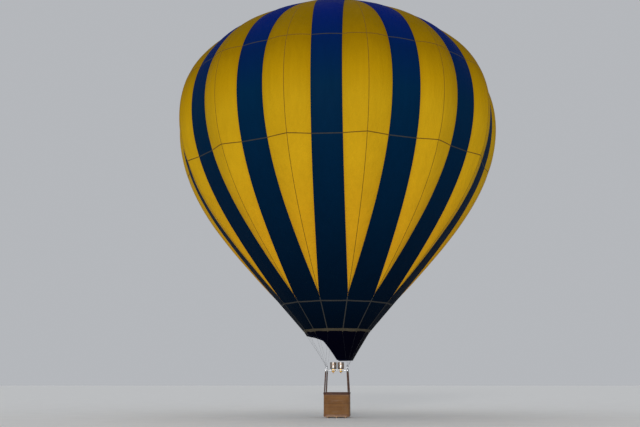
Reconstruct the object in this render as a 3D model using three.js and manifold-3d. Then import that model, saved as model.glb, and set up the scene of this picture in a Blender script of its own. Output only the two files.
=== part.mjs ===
// A hot air balloon with vertical blue and yellow stripes, a scoop, a double burner in a gimbal
// and a wicker basket. Units are millimetres, and +Z is up. The photographed front of the balloon
// faces -Y, and the open side of its scoop -X. Heights are written above the ground under the basket.
// The finished group is lowered at the end, so that its origin is the centre of lift in the envelope.
import * as THREE from 'three';
import { mergeVertices } from 'three/addons/utils/BufferGeometryUtils.js';
import Module from 'manifold-3d';

const wasm = await Module();
wasm.setup();

// Driving dimensions of the envelope.
const GORE_PAIRS = 14; // one blue strip and one yellow gore make a pair
const LIFT_HEIGHT = 13500; // centre of lift above the ground
const SHELL = 10; // thickness of every fabric shell
const GAP = 0.3; // running gap between neighbours that touch
const BLUE_WIDTH = 1370; // a blue strip keeps its width, and the yellow gore takes up the rest
const LOBE_DEPTH = 0.15; // how far a yellow gore swells, as a share of its own chord
const YELLOW_TIP = 12; // half of a yellow gore's width where it comes to its point
const FACETS = { blue: 1, yellow: 4 }; // facets across a gore
const ROWS_ABOVE_TIP = 13; // rows of panels between a yellow gore's two points

// The envelope's meridian at its load tapes. Columns: height, radius.
const MERIDIAN = [
  [4300, 1760],
  [5710, 2990],
  [7620, 4635],
  [9820, 6320],
  [12020, 7530],
  [14020, 8075],
  [15820, 8065],
  [17420, 7510],
  [18820, 6410],
  [19920, 4900],
  [20900, 3120],
];
const LOWER_TIP_POINT = 1; // the row of the table where the yellow gores start
const CROWN_TOP = 21300; // apex of the crown

// Driving dimensions of the crown and the mouth.
const VENT_LAP = 250; // how far the vent panel reaches under the gores
const VENT_RINGS = [2050, 1000]; // radii of the vent panel's inner rows
const CROWN_RING = { radius: 210, tube: 16, sides: 6 };
const CROWN_TAPE = { width: 60, thick: 8, clear: 0.4, lap: 350 }; // the lap is its length over the gores
const HEM_HEIGHT = 130;
const HEM_THICK = 14;

// Driving dimensions of the scoop, and of the edge of the arch that opens its side towards -X.
const SCOOP = { bottom: 2780, bottomRadius: 800, waist: 3300, waistRadius: 1110, sides: 24 };
const ARCH_STEPS = 12;
// Columns: x, height.
const ARCH = [
  [40, SCOOP.bottom],
  [-190, 3140],
  [-465, 3515],
  [-745, 3790],
  [-1200, 3955],
  [-1620, 4010],
];

// Driving dimensions of the burner and its frame.
const FRAME = { x: 530, y: 630, height: 2300, tube: 19 };
const CORNER = { radius: 34, half: 50 };
const LUG = { thick: 10, width: 56, rise: 62, hole: 15, steps: 5 };
// The seat is what a carabiner's bend needs to clear the hole of its lug.
const CARABINER = { tube: 6, halfWidth: 24, halfHeight: 46, seat: 2.2, sides: 6, steps: 16 };
const CABLE = { radius: 4, sides: 6 };
const PIN_RADIUS = 12;
const PIN_SIDES = 24;
const BORE_RADIUS = 12.6; // clears a pin by 0.5 mm at the flats of the bore
const BOSS = { radius: 27, half: 30, sides: 12 };
const RING = { x: 450, y: 330, bar: 30 };
const BURNER_SPACING = 190; // each can's offset from the middle
const CAN = { radius: 165, wall: 4, height: 340, jetHole: 34, shoulder: 40, sides: 16 };
const COIL = { radius: 113, tube: 10, turns: 4, pitch: 62, sides: 6, steps: 10 };
const MANIFOLD = { tube: 20, bar: 40, endGap: 8 };
const VALVE = { x: 130, y: 96, low: -96, high: 56 };
const INLET = { radius: 22, length: 80, y: 22, below: 20 }; // the fuel inlet under a valve block
const JET = { radius: 30, length: 34, above: 10 };
const HANDLE = { stem: 50, reach: 175, radius: 11, sides: 6, high: -60, low: -130 };

// Driving dimensions of the basket.
const BASKET = { x: 620, y: 735, wall: 30, corner: 120, cornerSteps: 4 }; // the walls' middle line
const RUNNER = { height: 60, width: 70, spacing: 440, sink: 1 };
const FLOOR_THICK = 20;
const WALL_TOP = 1150;
const RIM_RADIUS = 36;
const RIM_SIDES = 12;
const STEP = { width: 170, height: 130, radius: 50, low: 430, steps: 6 };
const UPRIGHT = { radius: 36, footInset: 35, sides: 12 };
const TANK = { radius: 155, height: 760, x: 435, y: 550, sides: 20 };
const TANK_ENDS = { foot: 40, footInset: 30, shoulder: 90, domeEdge: 35, domeDrop: 30 };
const COLLAR = { radius: 95, wall: 5, low: -10, floor: -2, high: 70 }; // heights above the tank's top
const TANK_VALVE = { radius: 34, height: 45 };

const FLOOR_LOW = RUNNER.height;
const FLOOR_TOP = FLOOR_LOW + FLOOR_THICK;
const RIM_HEIGHT = WALL_TOP + GAP + RIM_RADIUS;
const PAIR_ANGLE = (2 * Math.PI) / GORE_PAIRS;

// Finishes, with colours taken from the photograph by eye.
const finish = (color, roughness, metalness = 0) =>
  new THREE.MeshStandardMaterial({ color, roughness, metalness });
const blueFabric = finish(0x0b3a78, 0.6);
const yellowFabric = finish(0xe0b21e, 0.6);
const heatproofFabric = finish(0x15183a, 0.8);
const webbing = finish(0x6f6f6a, 0.8);
const steel = finish(0xb9bcc0, 0.3, 0.9);
const brass = finish(0xb08d3c, 0.35, 0.9);
const redPlastic = finish(0xb5201c, 0.45);
const wicker = finish(0x9a6a3a, 0.8);
const leather = finish(0x4a2c1c, 0.65);
const plywood = finish(0xb08a5a, 0.75);
const aluminium = finish(0xc9ccce, 0.35, 0.8);

// Geometry helpers.

// A closed solid through sections, which are loops of the same number of points.
// A loop runs out along one side of a strip and back along the other, so that its caps are strips too.
function loft(sections, closed = false) {
  const size = sections[0].length;
  const corners = [];
  const quad = (a, b, c, d) => corners.push(a, b, c, a, c, d);
  const last = closed ? sections.length : sections.length - 1;
  for (let i = 0; i < last; i++) {
    const near = sections[i];
    const far = sections[(i + 1) % sections.length];
    for (let j = 0; j < size; j++) {
      const k = (j + 1) % size;
      quad(near[j], near[k], far[k], far[j]);
    }
  }
  if (!closed) {
    const first = sections[0];
    const end = sections[sections.length - 1];
    for (let j = 0; j < size / 2 - 1; j++) {
      quad(first[j + 1], first[j], first[size - 1 - j], first[size - 2 - j]);
      quad(end[j], end[j + 1], end[size - 2 - j], end[size - 1 - j]);
    }
  }
  return new THREE.BufferGeometry().setFromPoints(corners);
}

// A point at an azimuth that runs from the front (-Y) towards +X.
const around = (angle, radius, height) =>
  new THREE.Vector3(radius * Math.sin(angle), -radius * Math.cos(angle), height);

function toSolid(geometry) {
  const bare = geometry.index ? geometry.toNonIndexed() : geometry.clone();
  bare.deleteAttribute('normal');
  bare.deleteAttribute('uv');
  const merged = mergeVertices(bare, 1e-3);
  return new wasm.Manifold(
    new wasm.Mesh({
      numProp: 3,
      vertProperties: merged.attributes.position.array,
      triVerts: new Uint32Array(merged.index.array),
    })
  );
}

function fromSolid(solid) {
  const mesh = solid.getMesh();
  const geometry = new THREE.BufferGeometry();
  geometry.setAttribute('position', new THREE.BufferAttribute(mesh.vertProperties, 3));
  geometry.setIndex(new THREE.BufferAttribute(mesh.triVerts, 1));
  return geometry;
}

// Joins the first list of closed geometries, and cuts the second list out of them.
function join(parts, cuts = []) {
  let solid = toSolid(parts[0]);
  for (const part of parts.slice(1)) solid = solid.add(toSolid(part));
  for (const cut of cuts) solid = solid.subtract(toSolid(cut));
  return fromSolid(solid);
}

const box = (x, y, z, cx, cy, cz) => new THREE.BoxGeometry(x, y, z).translate(cx, cy, cz);

// A flat shape in XY, carried up by a depth.
const extruded = (shape, depth, curveSegments = 1) =>
  new THREE.ExtrudeGeometry(shape, { depth, bevelEnabled: false, curveSegments });

// The corners of a rounded rectangle. Columns: side in x, side in y, quarter turn where its arc starts.
const ROUND_CORNERS = [
  [1, -1, -1],
  [1, 1, 0],
  [-1, 1, 1],
  [-1, -1, 2],
];

// The outline of a rectangle whose corners are rounded.
const roundedOutline = (halfX, halfY, radius, steps) =>
  ROUND_CORNERS.flatMap(([sx, sy, quarter]) =>
    Array.from({ length: steps + 1 }, (_, k) => {
      const turn = ((quarter + k / steps) * Math.PI) / 2;
      const x = sx * (halfX - radius) + radius * Math.cos(turn);
      return new THREE.Vector2(x, sy * (halfY - radius) + radius * Math.sin(turn));
    })
  );

// A solid of revolution about Z. The profile lists radius and height.
const lathe = (profile, sides) =>
  new THREE.LatheGeometry(profile.map(([x, y]) => new THREE.Vector2(x, y)), sides).rotateX(Math.PI / 2);

// A cylinder whose axis is 'x', 'y' or 'z'.
function rod(axis, radius, length, cx, cy, cz, sides = 8) {
  const geometry = new THREE.CylinderGeometry(radius, radius, length, sides);
  if (axis === 'x') geometry.rotateZ(Math.PI / 2);
  if (axis === 'z') geometry.rotateX(Math.PI / 2);
  return geometry.translate(cx, cy, cz);
}

// Loops of points round a path, each square to the path there.
function tubeSections(points, radius, sides, closed = false) {
  const count = points.length;
  return points.map((point, i) => {
    const before = points[closed ? (i + count - 1) % count : Math.max(i - 1, 0)];
    const after = points[closed ? (i + 1) % count : Math.min(i + 1, count - 1)];
    const along = after.clone().sub(before).normalize();
    const guide = Math.abs(along.z) > 0.9 ? new THREE.Vector3(1, 0, 0) : new THREE.Vector3(0, 0, 1);
    const across = guide.clone().cross(along).normalize();
    const up = along.clone().cross(across);
    return Array.from({ length: sides }, (_, k) => {
      const turn = (2 * Math.PI * k) / sides;
      return point
        .clone()
        .addScaledVector(across, radius * Math.cos(turn))
        .addScaledVector(up, radius * Math.sin(turn));
    });
  });
}

const group = new THREE.Group();
group.name = 'hot_air_balloon';

function addPart(name, geometry, material, parent = group) {
  const mesh = new THREE.Mesh(geometry, material);
  mesh.name = name;
  parent.add(mesh);
  return mesh;
}

// The envelope's rows: from the mouth, through the yellow gores' lower points, to the crown's edge.

const meridian = new THREE.SplineCurve(
  MERIDIAN.map(([height, radius]) => new THREE.Vector2(radius, height))
);
const tipShare = LOWER_TIP_POINT / (MERIDIAN.length - 1);
const rows = [meridian.getPoint(0)];
for (let i = 0; i <= ROWS_ABOVE_TIP; i++) {
  rows.push(meridian.getPoint(tipShare + ((1 - tipShare) * i) / ROWS_ABOVE_TIP));
}
const TIP_ROW = 1;
const MOUTH = rows[0];
const CROWN_EDGE = rows[rows.length - 1];

// The same row, moved square to the meridian by a distance, inwards if it is positive.
function inset(index, distance) {
  const before = rows[Math.max(index - 1, 0)];
  const after = rows[Math.min(index + 1, rows.length - 1)];
  const along = after.clone().sub(before).normalize();
  return new THREE.Vector2(rows[index].x - distance * along.y, rows[index].y + distance * along.x);
}

// Half of a yellow gore's angle at a load tape radius.
function yellowHalfAngle(radius) {
  const left = PAIR_ANGLE / 2 - Math.asin(Math.min(1, BLUE_WIDTH / 2 / radius));
  return Math.max(left, YELLOW_TIP / radius);
}

// How far the middle of a yellow gore stands out from the circle of the load tapes.
function lobeRise(radius) {
  const half = yellowHalfAngle(radius);
  const chord = 2 * radius * Math.sin(half);
  return Math.max(0, LOBE_DEPTH * chord - radius * (1 - Math.cos(half)));
}

// A strip of shell between two edges: at each row an outer line of points and an inner line back.
function shellSection(centre, halfAngle, outer, inner, facets, rise) {
  const spots = Array.from({ length: facets + 1 }, (_, j) => (2 * j) / facets - 1);
  const line = (row) =>
    spots.map((s) => {
      const radius = row.x + rise * (1 - s * s);
      return around(centre + s * (halfAngle - GAP / 2 / radius), radius, row.y);
    });
  return [...line(outer), ...line(inner).reverse()];
}

// Half of a blue gore's angle at a row: the mouth has no yellow beside it.
function blueHalfAngle(index) {
  return PAIR_ANGLE / 2 - (index < TIP_ROW ? 0 : yellowHalfAngle(rows[index].x));
}

function blueGore(centre) {
  return loft(
    rows.map((row, i) => shellSection(centre, blueHalfAngle(i), row, inset(i, SHELL), FACETS.blue, 0))
  );
}

function yellowGore(centre) {
  const sections = rows.slice(TIP_ROW).map((row, i) => {
    const inner = inset(i + TIP_ROW, SHELL);
    return shellSection(centre, yellowHalfAngle(row.x), row, inner, FACETS.yellow, lobeRise(row.x));
  });
  return loft(sections);
}

const label = (index) => String(index + 1).padStart(2, '0');

for (let k = 0; k < GORE_PAIRS; k++) {
  addPart(`blue_gore_${label(k)}`, blueGore(k * PAIR_ANGLE), blueFabric);
  addPart(`yellow_gore_${label(k)}`, yellowGore((k + 0.5) * PAIR_ANGLE), yellowFabric);
}

// The crown: the vent panel under the gores' edge, and the ring and tapes over it.

// The crown's own dome inside the gores' edge, at a radius.
function domeHeight(radius) {
  const drop = CROWN_TOP - CROWN_EDGE.y;
  return CROWN_TOP - drop * (radius / CROWN_EDGE.x) ** 2;
}

// The vent panel's outline has a corner at each edge of each blue gore,
// and its rim follows their undersides.
function ventPanel() {
  const last = rows.length - 1;
  const edges = [];
  for (let k = 0; k < GORE_PAIRS; k++) for (const side of [-1, 1]) edges.push([k * PAIR_ANGLE, side]);
  const corner = (index, [centre, side]) => {
    const row = inset(index, SHELL + GAP);
    return around(centre + side * blueHalfAngle(index), row.x, row.y);
  };
  const lap = VENT_LAP / inset(last, 0).distanceTo(inset(last - 1, 0));
  const edgeRow = edges.map((edge) => corner(last, edge));
  const rimRow = edges.map((edge, j) => edgeRow[j].clone().lerp(corner(last - 1, edge), lap));
  const drop = edgeRow[0].z - CROWN_EDGE.y;
  const turn = ([centre, side]) => centre + side * blueHalfAngle(last);
  const innerRows = VENT_RINGS.map((radius) =>
    edges.map((edge) => around(turn(edge), radius, domeHeight(radius) + drop))
  );
  const top = [rimRow, edgeRow, ...innerRows];
  const lowered = (point) => point.clone().setZ(point.z - SHELL);
  const apex = new THREE.Vector3(0, 0, CROWN_TOP + drop);
  const points = [];
  const triangle = (a, b, c) => points.push(a, b, c, lowered(c), lowered(b), lowered(a));
  for (let j = 0; j < edges.length; j++) {
    const k = (j + 1) % edges.length;
    for (let i = 0; i + 1 < top.length; i++) {
      triangle(top[i][j], top[i][k], top[i + 1][k]);
      triangle(top[i][j], top[i + 1][k], top[i + 1][j]);
    }
    const inmost = top[top.length - 1];
    triangle(inmost[j], inmost[k], apex);
    points.push(lowered(rimRow[j]), lowered(rimRow[k]), rimRow[k]);
    points.push(lowered(rimRow[j]), rimRow[k], rimRow[j]);
  }
  return new THREE.BufferGeometry().setFromPoints(points);
}
addPart('parachute_vent', ventPanel(), blueFabric);

function crownTape(angle) {
  const [lower, edge] = rows.slice(-2).map(({ x, y }) => new THREE.Vector2(x + lobeRise(x), y));
  const path = [edge.clone().lerp(lower, CROWN_TAPE.lap / edge.distanceTo(lower)), edge];
  for (const radius of [...VENT_RINGS, CROWN_RING.radius]) {
    path.push(new THREE.Vector2(radius, domeHeight(radius)));
  }
  const side = around(angle + Math.PI / 2, CROWN_TAPE.width / 2, 0);
  return loft(
    path.map((row) => {
      const low = around(angle, row.x, row.y + CROWN_TAPE.clear);
      const high = low.clone().setZ(low.z + CROWN_TAPE.thick);
      const ends = [high.clone().sub(side), high.clone().add(side)];
      return [...ends, low.clone().add(side), low.clone().sub(side)];
    })
  );
}

function crownRing() {
  const steps = 2 * GORE_PAIRS;
  const height = domeHeight(CROWN_RING.radius) + CROWN_TAPE.clear + CROWN_TAPE.thick / 2;
  const path = Array.from({ length: steps }, (_, k) =>
    around((2 * Math.PI * k) / steps, CROWN_RING.radius, height)
  );
  return loft(tubeSections(path, CROWN_RING.tube, CROWN_RING.sides, true), true);
}

const tapeAngles = Array.from({ length: GORE_PAIRS }, (_, k) => (k + 0.5) * PAIR_ANGLE);
addPart('crown_ring_and_tapes', join([crownRing(), ...tapeAngles.map(crownTape)]), webbing);

// The mouth: a band of webbing under the gores, and the scoop under the band.

const mouthSlope = (rows[1].x - rows[0].x) / (rows[1].y - rows[0].y);
const mouthRadius = (height) => MOUTH.x - (MOUTH.y - height) * mouthSlope;
const HEM_TOP = MOUTH.y - GAP * 2;
const HEM_LOW = HEM_TOP - HEM_HEIGHT;

function mouthHem() {
  const sections = tapeAngles.map((angle) => [
    around(angle, mouthRadius(HEM_TOP), HEM_TOP),
    around(angle, mouthRadius(HEM_LOW), HEM_LOW),
    around(angle, mouthRadius(HEM_LOW) - HEM_THICK, HEM_LOW),
    around(angle, mouthRadius(HEM_TOP) - HEM_THICK, HEM_TOP),
  ]);
  return loft(sections, true);
}
addPart('mouth_hem', mouthHem(), webbing);

// The scoop is a skirt all round the mouth, with an arch cut straight through its front and back.
function scoop() {
  const top = HEM_LOW - GAP;
  const outer = [
    [SCOOP.bottomRadius, SCOOP.bottom],
    [SCOOP.waistRadius, SCOOP.waist],
    [mouthRadius(top), top],
  ];
  const inner = outer.map(([radius, height]) => [radius - SHELL, height]).reverse();
  const skirt = lathe([...outer, ...inner, outer[0]], SCOOP.sides);
  const under = SCOOP.bottom - SHELL;
  const outside = -mouthRadius(top) - SHELL;
  const edge = new THREE.SplineCurve(ARCH.map(([x, height]) => new THREE.Vector2(x, height)));
  const arch = new THREE.Shape();
  arch.moveTo(outside, under).lineTo(ARCH[0][0], under);
  for (const { x, y } of edge.getPoints(ARCH_STEPS)) arch.lineTo(x, y);
  arch.lineTo(outside, ARCH[ARCH.length - 1][1]);
  const depth = 2 * (mouthRadius(top) + SHELL);
  const cutter = extruded(arch, depth)
    .rotateX(Math.PI / 2)
    .translate(0, depth / 2, 0);
  return join([skirt], [cutter]);
}
addPart('scoop', scoop(), heatproofFabric);

// The burner frame, with a lug for a carabiner on each corner and a bearing for the gimbal on each side.

const corners = [
  ['front_left', -1, -1],
  ['front_right', 1, -1],
  ['back_right', 1, 1],
  ['back_left', -1, 1],
];
const lugHoleHeight = FRAME.height + CORNER.half + LUG.rise - LUG.width / 2;

function lug(sx, sy) {
  const outline = new THREE.Shape();
  const half = LUG.width / 2;
  outline.moveTo(-half, -LUG.rise).lineTo(half, -LUG.rise).lineTo(half, -half);
  outline.absarc(0, -half, half, 0, Math.PI, false).lineTo(-half, -LUG.rise);
  const hole = new THREE.Path();
  hole.absarc(0, -half, LUG.hole, 0, 2 * Math.PI, true);
  outline.holes.push(hole);
  return extruded(outline, LUG.thick, LUG.steps)
    .rotateX(Math.PI / 2)
    .translate(0, LUG.thick / 2, 0)
    .rotateZ(Math.atan2(sy * FRAME.y, sx * FRAME.x) + Math.PI / 2)
    .translate(sx * FRAME.x, sy * FRAME.y, FRAME.height + CORNER.half + LUG.rise);
}

function burnerFrame() {
  const { x, y, height, tube } = FRAME;
  const parts = [];
  const bores = [];
  for (const s of [-1, 1]) {
    parts.push(rod('x', tube, 2 * x, 0, s * y, height));
    parts.push(rod('y', tube, 2 * y, s * x, 0, height));
    parts.push(rod('x', BOSS.radius, 2 * BOSS.half, s * x, 0, height, BOSS.sides));
    bores.push(rod('x', BORE_RADIUS, 4 * BOSS.half, s * x, 0, height, PIN_SIDES));
  }
  for (const [, sx, sy] of corners) {
    parts.push(rod('z', CORNER.radius, 2 * CORNER.half, sx * x, sy * y, height));
    parts.push(lug(sx, sy));
  }
  return join(parts, bores);
}
addPart('burner_frame', burnerFrame(), steel);

// The envelope's cables run from the load tapes at the mouth to a carabiner on each corner of the frame.

const carabinerMiddle =
  lugHoleHeight + LUG.hole - CARABINER.tube - CARABINER.seat + CARABINER.halfHeight;

function carabiner(sx, sy) {
  const { steps } = CARABINER;
  const out = new THREE.Vector3(sx * FRAME.x, sy * FRAME.y, 0).normalize();
  const path = Array.from({ length: steps }, (_, k) => {
    const turn = (2 * Math.PI * k) / steps;
    const height = carabinerMiddle - CARABINER.halfHeight * Math.cos(turn);
    return new THREE.Vector3(sx * FRAME.x, sy * FRAME.y, height).addScaledVector(
      out,
      CARABINER.halfWidth * Math.sin(turn)
    );
  });
  return loft(tubeSections(path, CARABINER.tube, CARABINER.sides, true), true);
}

// Each load tape's cable goes to the corner of its own quarter.
function cornerOfTape(angle) {
  const quarter = Math.floor((angle - 1e-6) / (Math.PI / 2));
  return ['front_right', 'back_right', 'back_left', 'front_left'][quarter];
}

for (const [name, sx, sy] of corners) {
  const end = new THREE.Vector3(sx * FRAME.x, sy * FRAME.y, carabinerMiddle + CARABINER.halfHeight);
  const cables = tapeAngles
    .filter((angle) => cornerOfTape(angle) === name)
    .map((angle) => {
      const height = (HEM_TOP + HEM_LOW) / 2;
      const off = (CABLE.radius + 2 * GAP) * Math.hypot(1, mouthSlope);
      const start = around(angle, mouthRadius(height) + off, height);
      return loft(tubeSections([start, end], CABLE.radius, CABLE.sides));
    });
  addPart(`envelope_cables_${name}`, join([carabiner(sx, sy), ...cables]), steel);
}

// The gimbal: a ring that tips about X in the frame, and a burner that tips about Y in the ring.

const gimbal = new THREE.Group();
gimbal.position.z = FRAME.height;
group.add(gimbal);

function gimbalRing() {
  const { x, y, bar } = RING;
  const parts = [];
  const bores = [];
  for (const s of [-1, 1]) {
    parts.push(box(2 * x + bar, bar, bar, 0, s * y, 0));
    parts.push(box(bar, 2 * y + bar, bar, s * x, 0, 0));
    const reach = FRAME.x + BOSS.half - x;
    parts.push(rod('x', PIN_RADIUS, reach, s * (x + reach / 2), 0, 0, PIN_SIDES));
    parts.push(rod('y', BOSS.radius, 2 * BOSS.half, 0, s * y, 0, BOSS.sides));
    bores.push(rod('y', BORE_RADIUS, 4 * BOSS.half, 0, s * y, 0, PIN_SIDES));
  }
  return join(parts, bores);
}
addPart('gimbal_ring', gimbalRing(), steel, gimbal);

function burnerManifold() {
  const shoulder = RING.y - BOSS.half - MANIFOLD.endGap;
  const parts = [
    rod('y', MANIFOLD.tube, 2 * shoulder, 0, 0, 0),
    rod('y', PIN_RADIUS, 2 * (RING.y + BOSS.half), 0, 0, 0, PIN_SIDES),
    box(2 * BURNER_SPACING, MANIFOLD.bar, MANIFOLD.bar, 0, 0, 0),
  ];
  for (const s of [-1, 1]) {
    const middle = (VALVE.low + VALVE.high) / 2;
    const x = s * BURNER_SPACING;
    parts.push(box(VALVE.x, VALVE.y, VALVE.high - VALVE.low, x, 0, middle));
    parts.push(rod('z', INLET.radius, INLET.length, x, INLET.y, VALVE.low - INLET.below));
    parts.push(rod('z', JET.radius, JET.length, x, 0, VALVE.high + JET.above));
  }
  return join(parts);
}
addPart('burner_manifold', burnerManifold(), brass, gimbal);

function burnerCan() {
  const { radius, wall, height, jetHole, shoulder } = CAN;
  const bottom = VALVE.high + GAP;
  const top = bottom + height;
  const inner = shoulder + wall / 2;
  return lathe(
    [
      [jetHole, bottom],
      [radius - shoulder, bottom],
      [radius, bottom + shoulder],
      [radius, top],
      [radius - wall, top],
      [radius - wall, bottom + inner],
      [radius - inner, bottom + wall],
      [jetHole, bottom + wall],
      [jetHole, bottom],
    ],
    CAN.sides
  );
}

function burnerCoil() {
  const { steps } = COIL;
  const start = VALVE.high + CAN.wall + COIL.tube * Math.cos(Math.PI / COIL.sides) + 2 * GAP;
  const path = Array.from({ length: COIL.turns * steps + 1 }, (_, k) => {
    const turn = (2 * Math.PI * k) / steps;
    return around(turn, COIL.radius, start + COIL.pitch * Math.max(0, k / steps - 0.5));
  });
  return loft(tubeSections(path, COIL.tube, COIL.sides));
}

function valveHandle(s) {
  const path = [
    new THREE.Vector3(s * BURNER_SPACING, -VALVE.y / 2 - GAP, HANDLE.high),
    new THREE.Vector3(s * BURNER_SPACING, -VALVE.y / 2 - HANDLE.stem, HANDLE.high),
    new THREE.Vector3(s * BURNER_SPACING, -VALVE.y / 2 - HANDLE.reach, HANDLE.low),
  ];
  return loft(tubeSections(path, HANDLE.radius, HANDLE.sides));
}

for (const [name, s] of [['left', -1], ['right', 1]]) {
  addPart(`burner_can_${name}`, burnerCan().translate(s * BURNER_SPACING, 0, 0), steel, gimbal);
  addPart(`burner_coil_${name}`, burnerCoil().translate(s * BURNER_SPACING, 0, 0), steel, gimbal);
  addPart(`blast_valve_handle_${name}`, valveHandle(s), redPlastic, gimbal);
}

// The uprights lean in from the basket's corners to the corners of the frame.

function upright(sx, sy) {
  const circle = (cx, cy, z) =>
    Array.from({ length: UPRIGHT.sides }, (_, k) => {
      const turn = (2 * Math.PI * k) / UPRIGHT.sides;
      const spoke = new THREE.Vector3(Math.cos(turn), Math.sin(turn), 0);
      return new THREE.Vector3(cx, cy, z).addScaledVector(spoke, UPRIGHT.radius);
    });
  const foot = circle(
    sx * (BASKET.x - UPRIGHT.footInset),
    sy * (BASKET.y - UPRIGHT.footInset),
    RIM_HEIGHT + RIM_RADIUS + GAP
  );
  return loft([foot, circle(sx * FRAME.x, sy * FRAME.y, FRAME.height - CORNER.half - GAP)]);
}
for (const [name, sx, sy] of corners) addPart(`upright_${name}`, upright(sx, sy), leather);

// The basket: runners and floor, four wicker walls with step holes, and a padded rim.

function basketFloor() {
  const half = BASKET.wall / 2;
  const [x, y] = [BASKET.x + half, BASKET.y + half];
  const outline = new THREE.Shape(roundedOutline(x, y, BASKET.corner + half, BASKET.cornerSteps));
  const parts = [extruded(outline, FLOOR_THICK).translate(0, 0, FLOOR_LOW)];
  const height = RUNNER.height + RUNNER.sink;
  for (const s of [-1, 0, 1]) {
    parts.push(box(RUNNER.width, 2 * y, height, s * RUNNER.spacing, 0, height / 2));
  }
  return join(parts);
}
addPart('basket_floor', basketFloor(), plywood);

// A step hole, as a bar through a wall that faces -Y.
function stepHole(distance) {
  const { width, height, radius, low, steps } = STEP;
  const hole = new THREE.Shape(roundedOutline(width / 2, height / 2, radius, steps));
  const depth = 2 * BASKET.wall;
  return extruded(hole, depth)
    .rotateX(Math.PI / 2)
    .translate(0, depth / 2 - distance, low + height / 2);
}

// A wall that faces -Y: straight, and with half of a rounded corner at each end.
// The half length and the distance are to the middle line.
function basketWall(halfLength, distance) {
  const sections = [];
  for (const side of [-1, 1]) {
    for (let k = 0; k <= BASKET.cornerSteps / 2; k++) {
      const step = side < 0 ? BASKET.cornerSteps / 2 - k : k;
      const turn = (side * step * Math.PI) / 2 / BASKET.cornerSteps;
      const isEnd = step === BASKET.cornerSteps / 2;
      const corner = new THREE.Vector3(side * (halfLength - BASKET.corner), BASKET.corner - distance, 0);
      const point = (radius, height) =>
        around(turn - (isEnd ? (side * GAP) / 2 / radius : 0), radius, height).add(corner);
      const outer = BASKET.corner + BASKET.wall / 2;
      const inner = BASKET.corner - BASKET.wall / 2;
      const low = FLOOR_TOP + GAP;
      sections.push([point(outer, low), point(inner, low), point(inner, WALL_TOP), point(outer, WALL_TOP)]);
    }
  }
  return loft(sections);
}
// Columns: name, turn about Z in quarters, half length, distance, step hole.
const walls = [
  ['front', 0, BASKET.x, BASKET.y, false],
  ['right', 1, BASKET.y, BASKET.x, true],
  ['back', 2, BASKET.x, BASKET.y, false],
  ['left', 3, BASKET.y, BASKET.x, true],
];
for (const [name, quarter, halfLength, distance, hasStep] of walls) {
  const holes = hasStep ? [stepHole(distance)] : [];
  const wall = addPart(`basket_wall_${name}`, join([basketWall(halfLength, distance)], holes), wicker);
  wall.rotation.z = (quarter * Math.PI) / 2;
}

function basketRim() {
  const path = roundedOutline(BASKET.x, BASKET.y, BASKET.corner, BASKET.cornerSteps).map(
    ({ x, y }) => new THREE.Vector3(x, y, RIM_HEIGHT)
  );
  return loft(tubeSections(path, RIM_RADIUS, RIM_SIDES, true), true);
}
addPart('basket_rim', basketRim(), leather);

function fuelTank() {
  const { radius, height } = TANK;
  const { foot, footInset, shoulder, domeEdge, domeDrop } = TANK_ENDS;
  const inner = COLLAR.radius - COLLAR.wall;
  return lathe(
    [
      [0, 0],
      [radius - footInset, 0],
      [radius, foot],
      [radius, height - shoulder],
      [radius - domeEdge, height - domeDrop],
      [COLLAR.radius, height + COLLAR.low],
      [COLLAR.radius, height + COLLAR.high],
      [inner, height + COLLAR.high],
      [inner, height + COLLAR.floor],
      [TANK_VALVE.radius, height],
      [TANK_VALVE.radius, height + TANK_VALVE.height],
      [0, height + TANK_VALVE.height],
    ],
    TANK.sides
  );
}
for (const [name, sx, sy] of corners) {
  const tank = addPart(`fuel_tank_${name}`, fuelTank(), aluminium);
  tank.position.set(sx * TANK.x, sy * TANK.y, FLOOR_TOP + GAP);
}

group.position.z = -LIFT_HEIGHT;

export default group;
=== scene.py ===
# The looks of a hot air balloon: striped cloth gores, webbing, scoop, double burner and wicker basket.
# Units are metres, and heights called h are above the ground under the basket.
import random
from math import asin, atan2, ceil, copysign, cos, dist, exp, hypot, pi, radians, sin, sqrt

import bmesh
import bpy
from mathutils import Matrix, Vector, noise


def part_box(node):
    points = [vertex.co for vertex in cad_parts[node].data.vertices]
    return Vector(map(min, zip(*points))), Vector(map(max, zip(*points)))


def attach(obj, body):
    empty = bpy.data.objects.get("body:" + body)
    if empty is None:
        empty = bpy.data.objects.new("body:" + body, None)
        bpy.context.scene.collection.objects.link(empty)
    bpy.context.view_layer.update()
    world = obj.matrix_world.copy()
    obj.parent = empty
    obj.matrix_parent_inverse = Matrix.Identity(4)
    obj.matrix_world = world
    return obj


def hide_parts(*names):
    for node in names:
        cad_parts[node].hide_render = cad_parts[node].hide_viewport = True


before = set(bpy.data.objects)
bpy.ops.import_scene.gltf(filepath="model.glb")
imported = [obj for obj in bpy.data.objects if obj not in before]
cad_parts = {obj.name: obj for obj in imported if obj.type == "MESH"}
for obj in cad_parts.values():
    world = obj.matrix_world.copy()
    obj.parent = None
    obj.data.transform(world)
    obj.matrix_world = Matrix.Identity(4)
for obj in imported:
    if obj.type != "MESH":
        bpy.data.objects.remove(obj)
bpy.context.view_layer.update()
random.seed(14)

MAIN = "envelope_and_basket"
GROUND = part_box("basket_floor")[0][2]
X, Y, Z = (Vector(row) for row in Matrix.Identity(3))
SIDES = (("left", -1), ("right", 1))
CORNERS = {"front_left": (-1, -1), "front_right": (1, -1), "back_right": (1, 1), "back_left": (-1, 1)}

# Places


def xyz(x, y, z):
    return Vector((x, y, z))


def shift(x, y, z):
    return Matrix.Translation((x, y, z))


def around(angle, radius, z):
    """A point at an azimuth that runs from the front, -Y, towards +X."""
    return xyz(radius * sin(angle), -radius * cos(angle), z)


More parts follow.
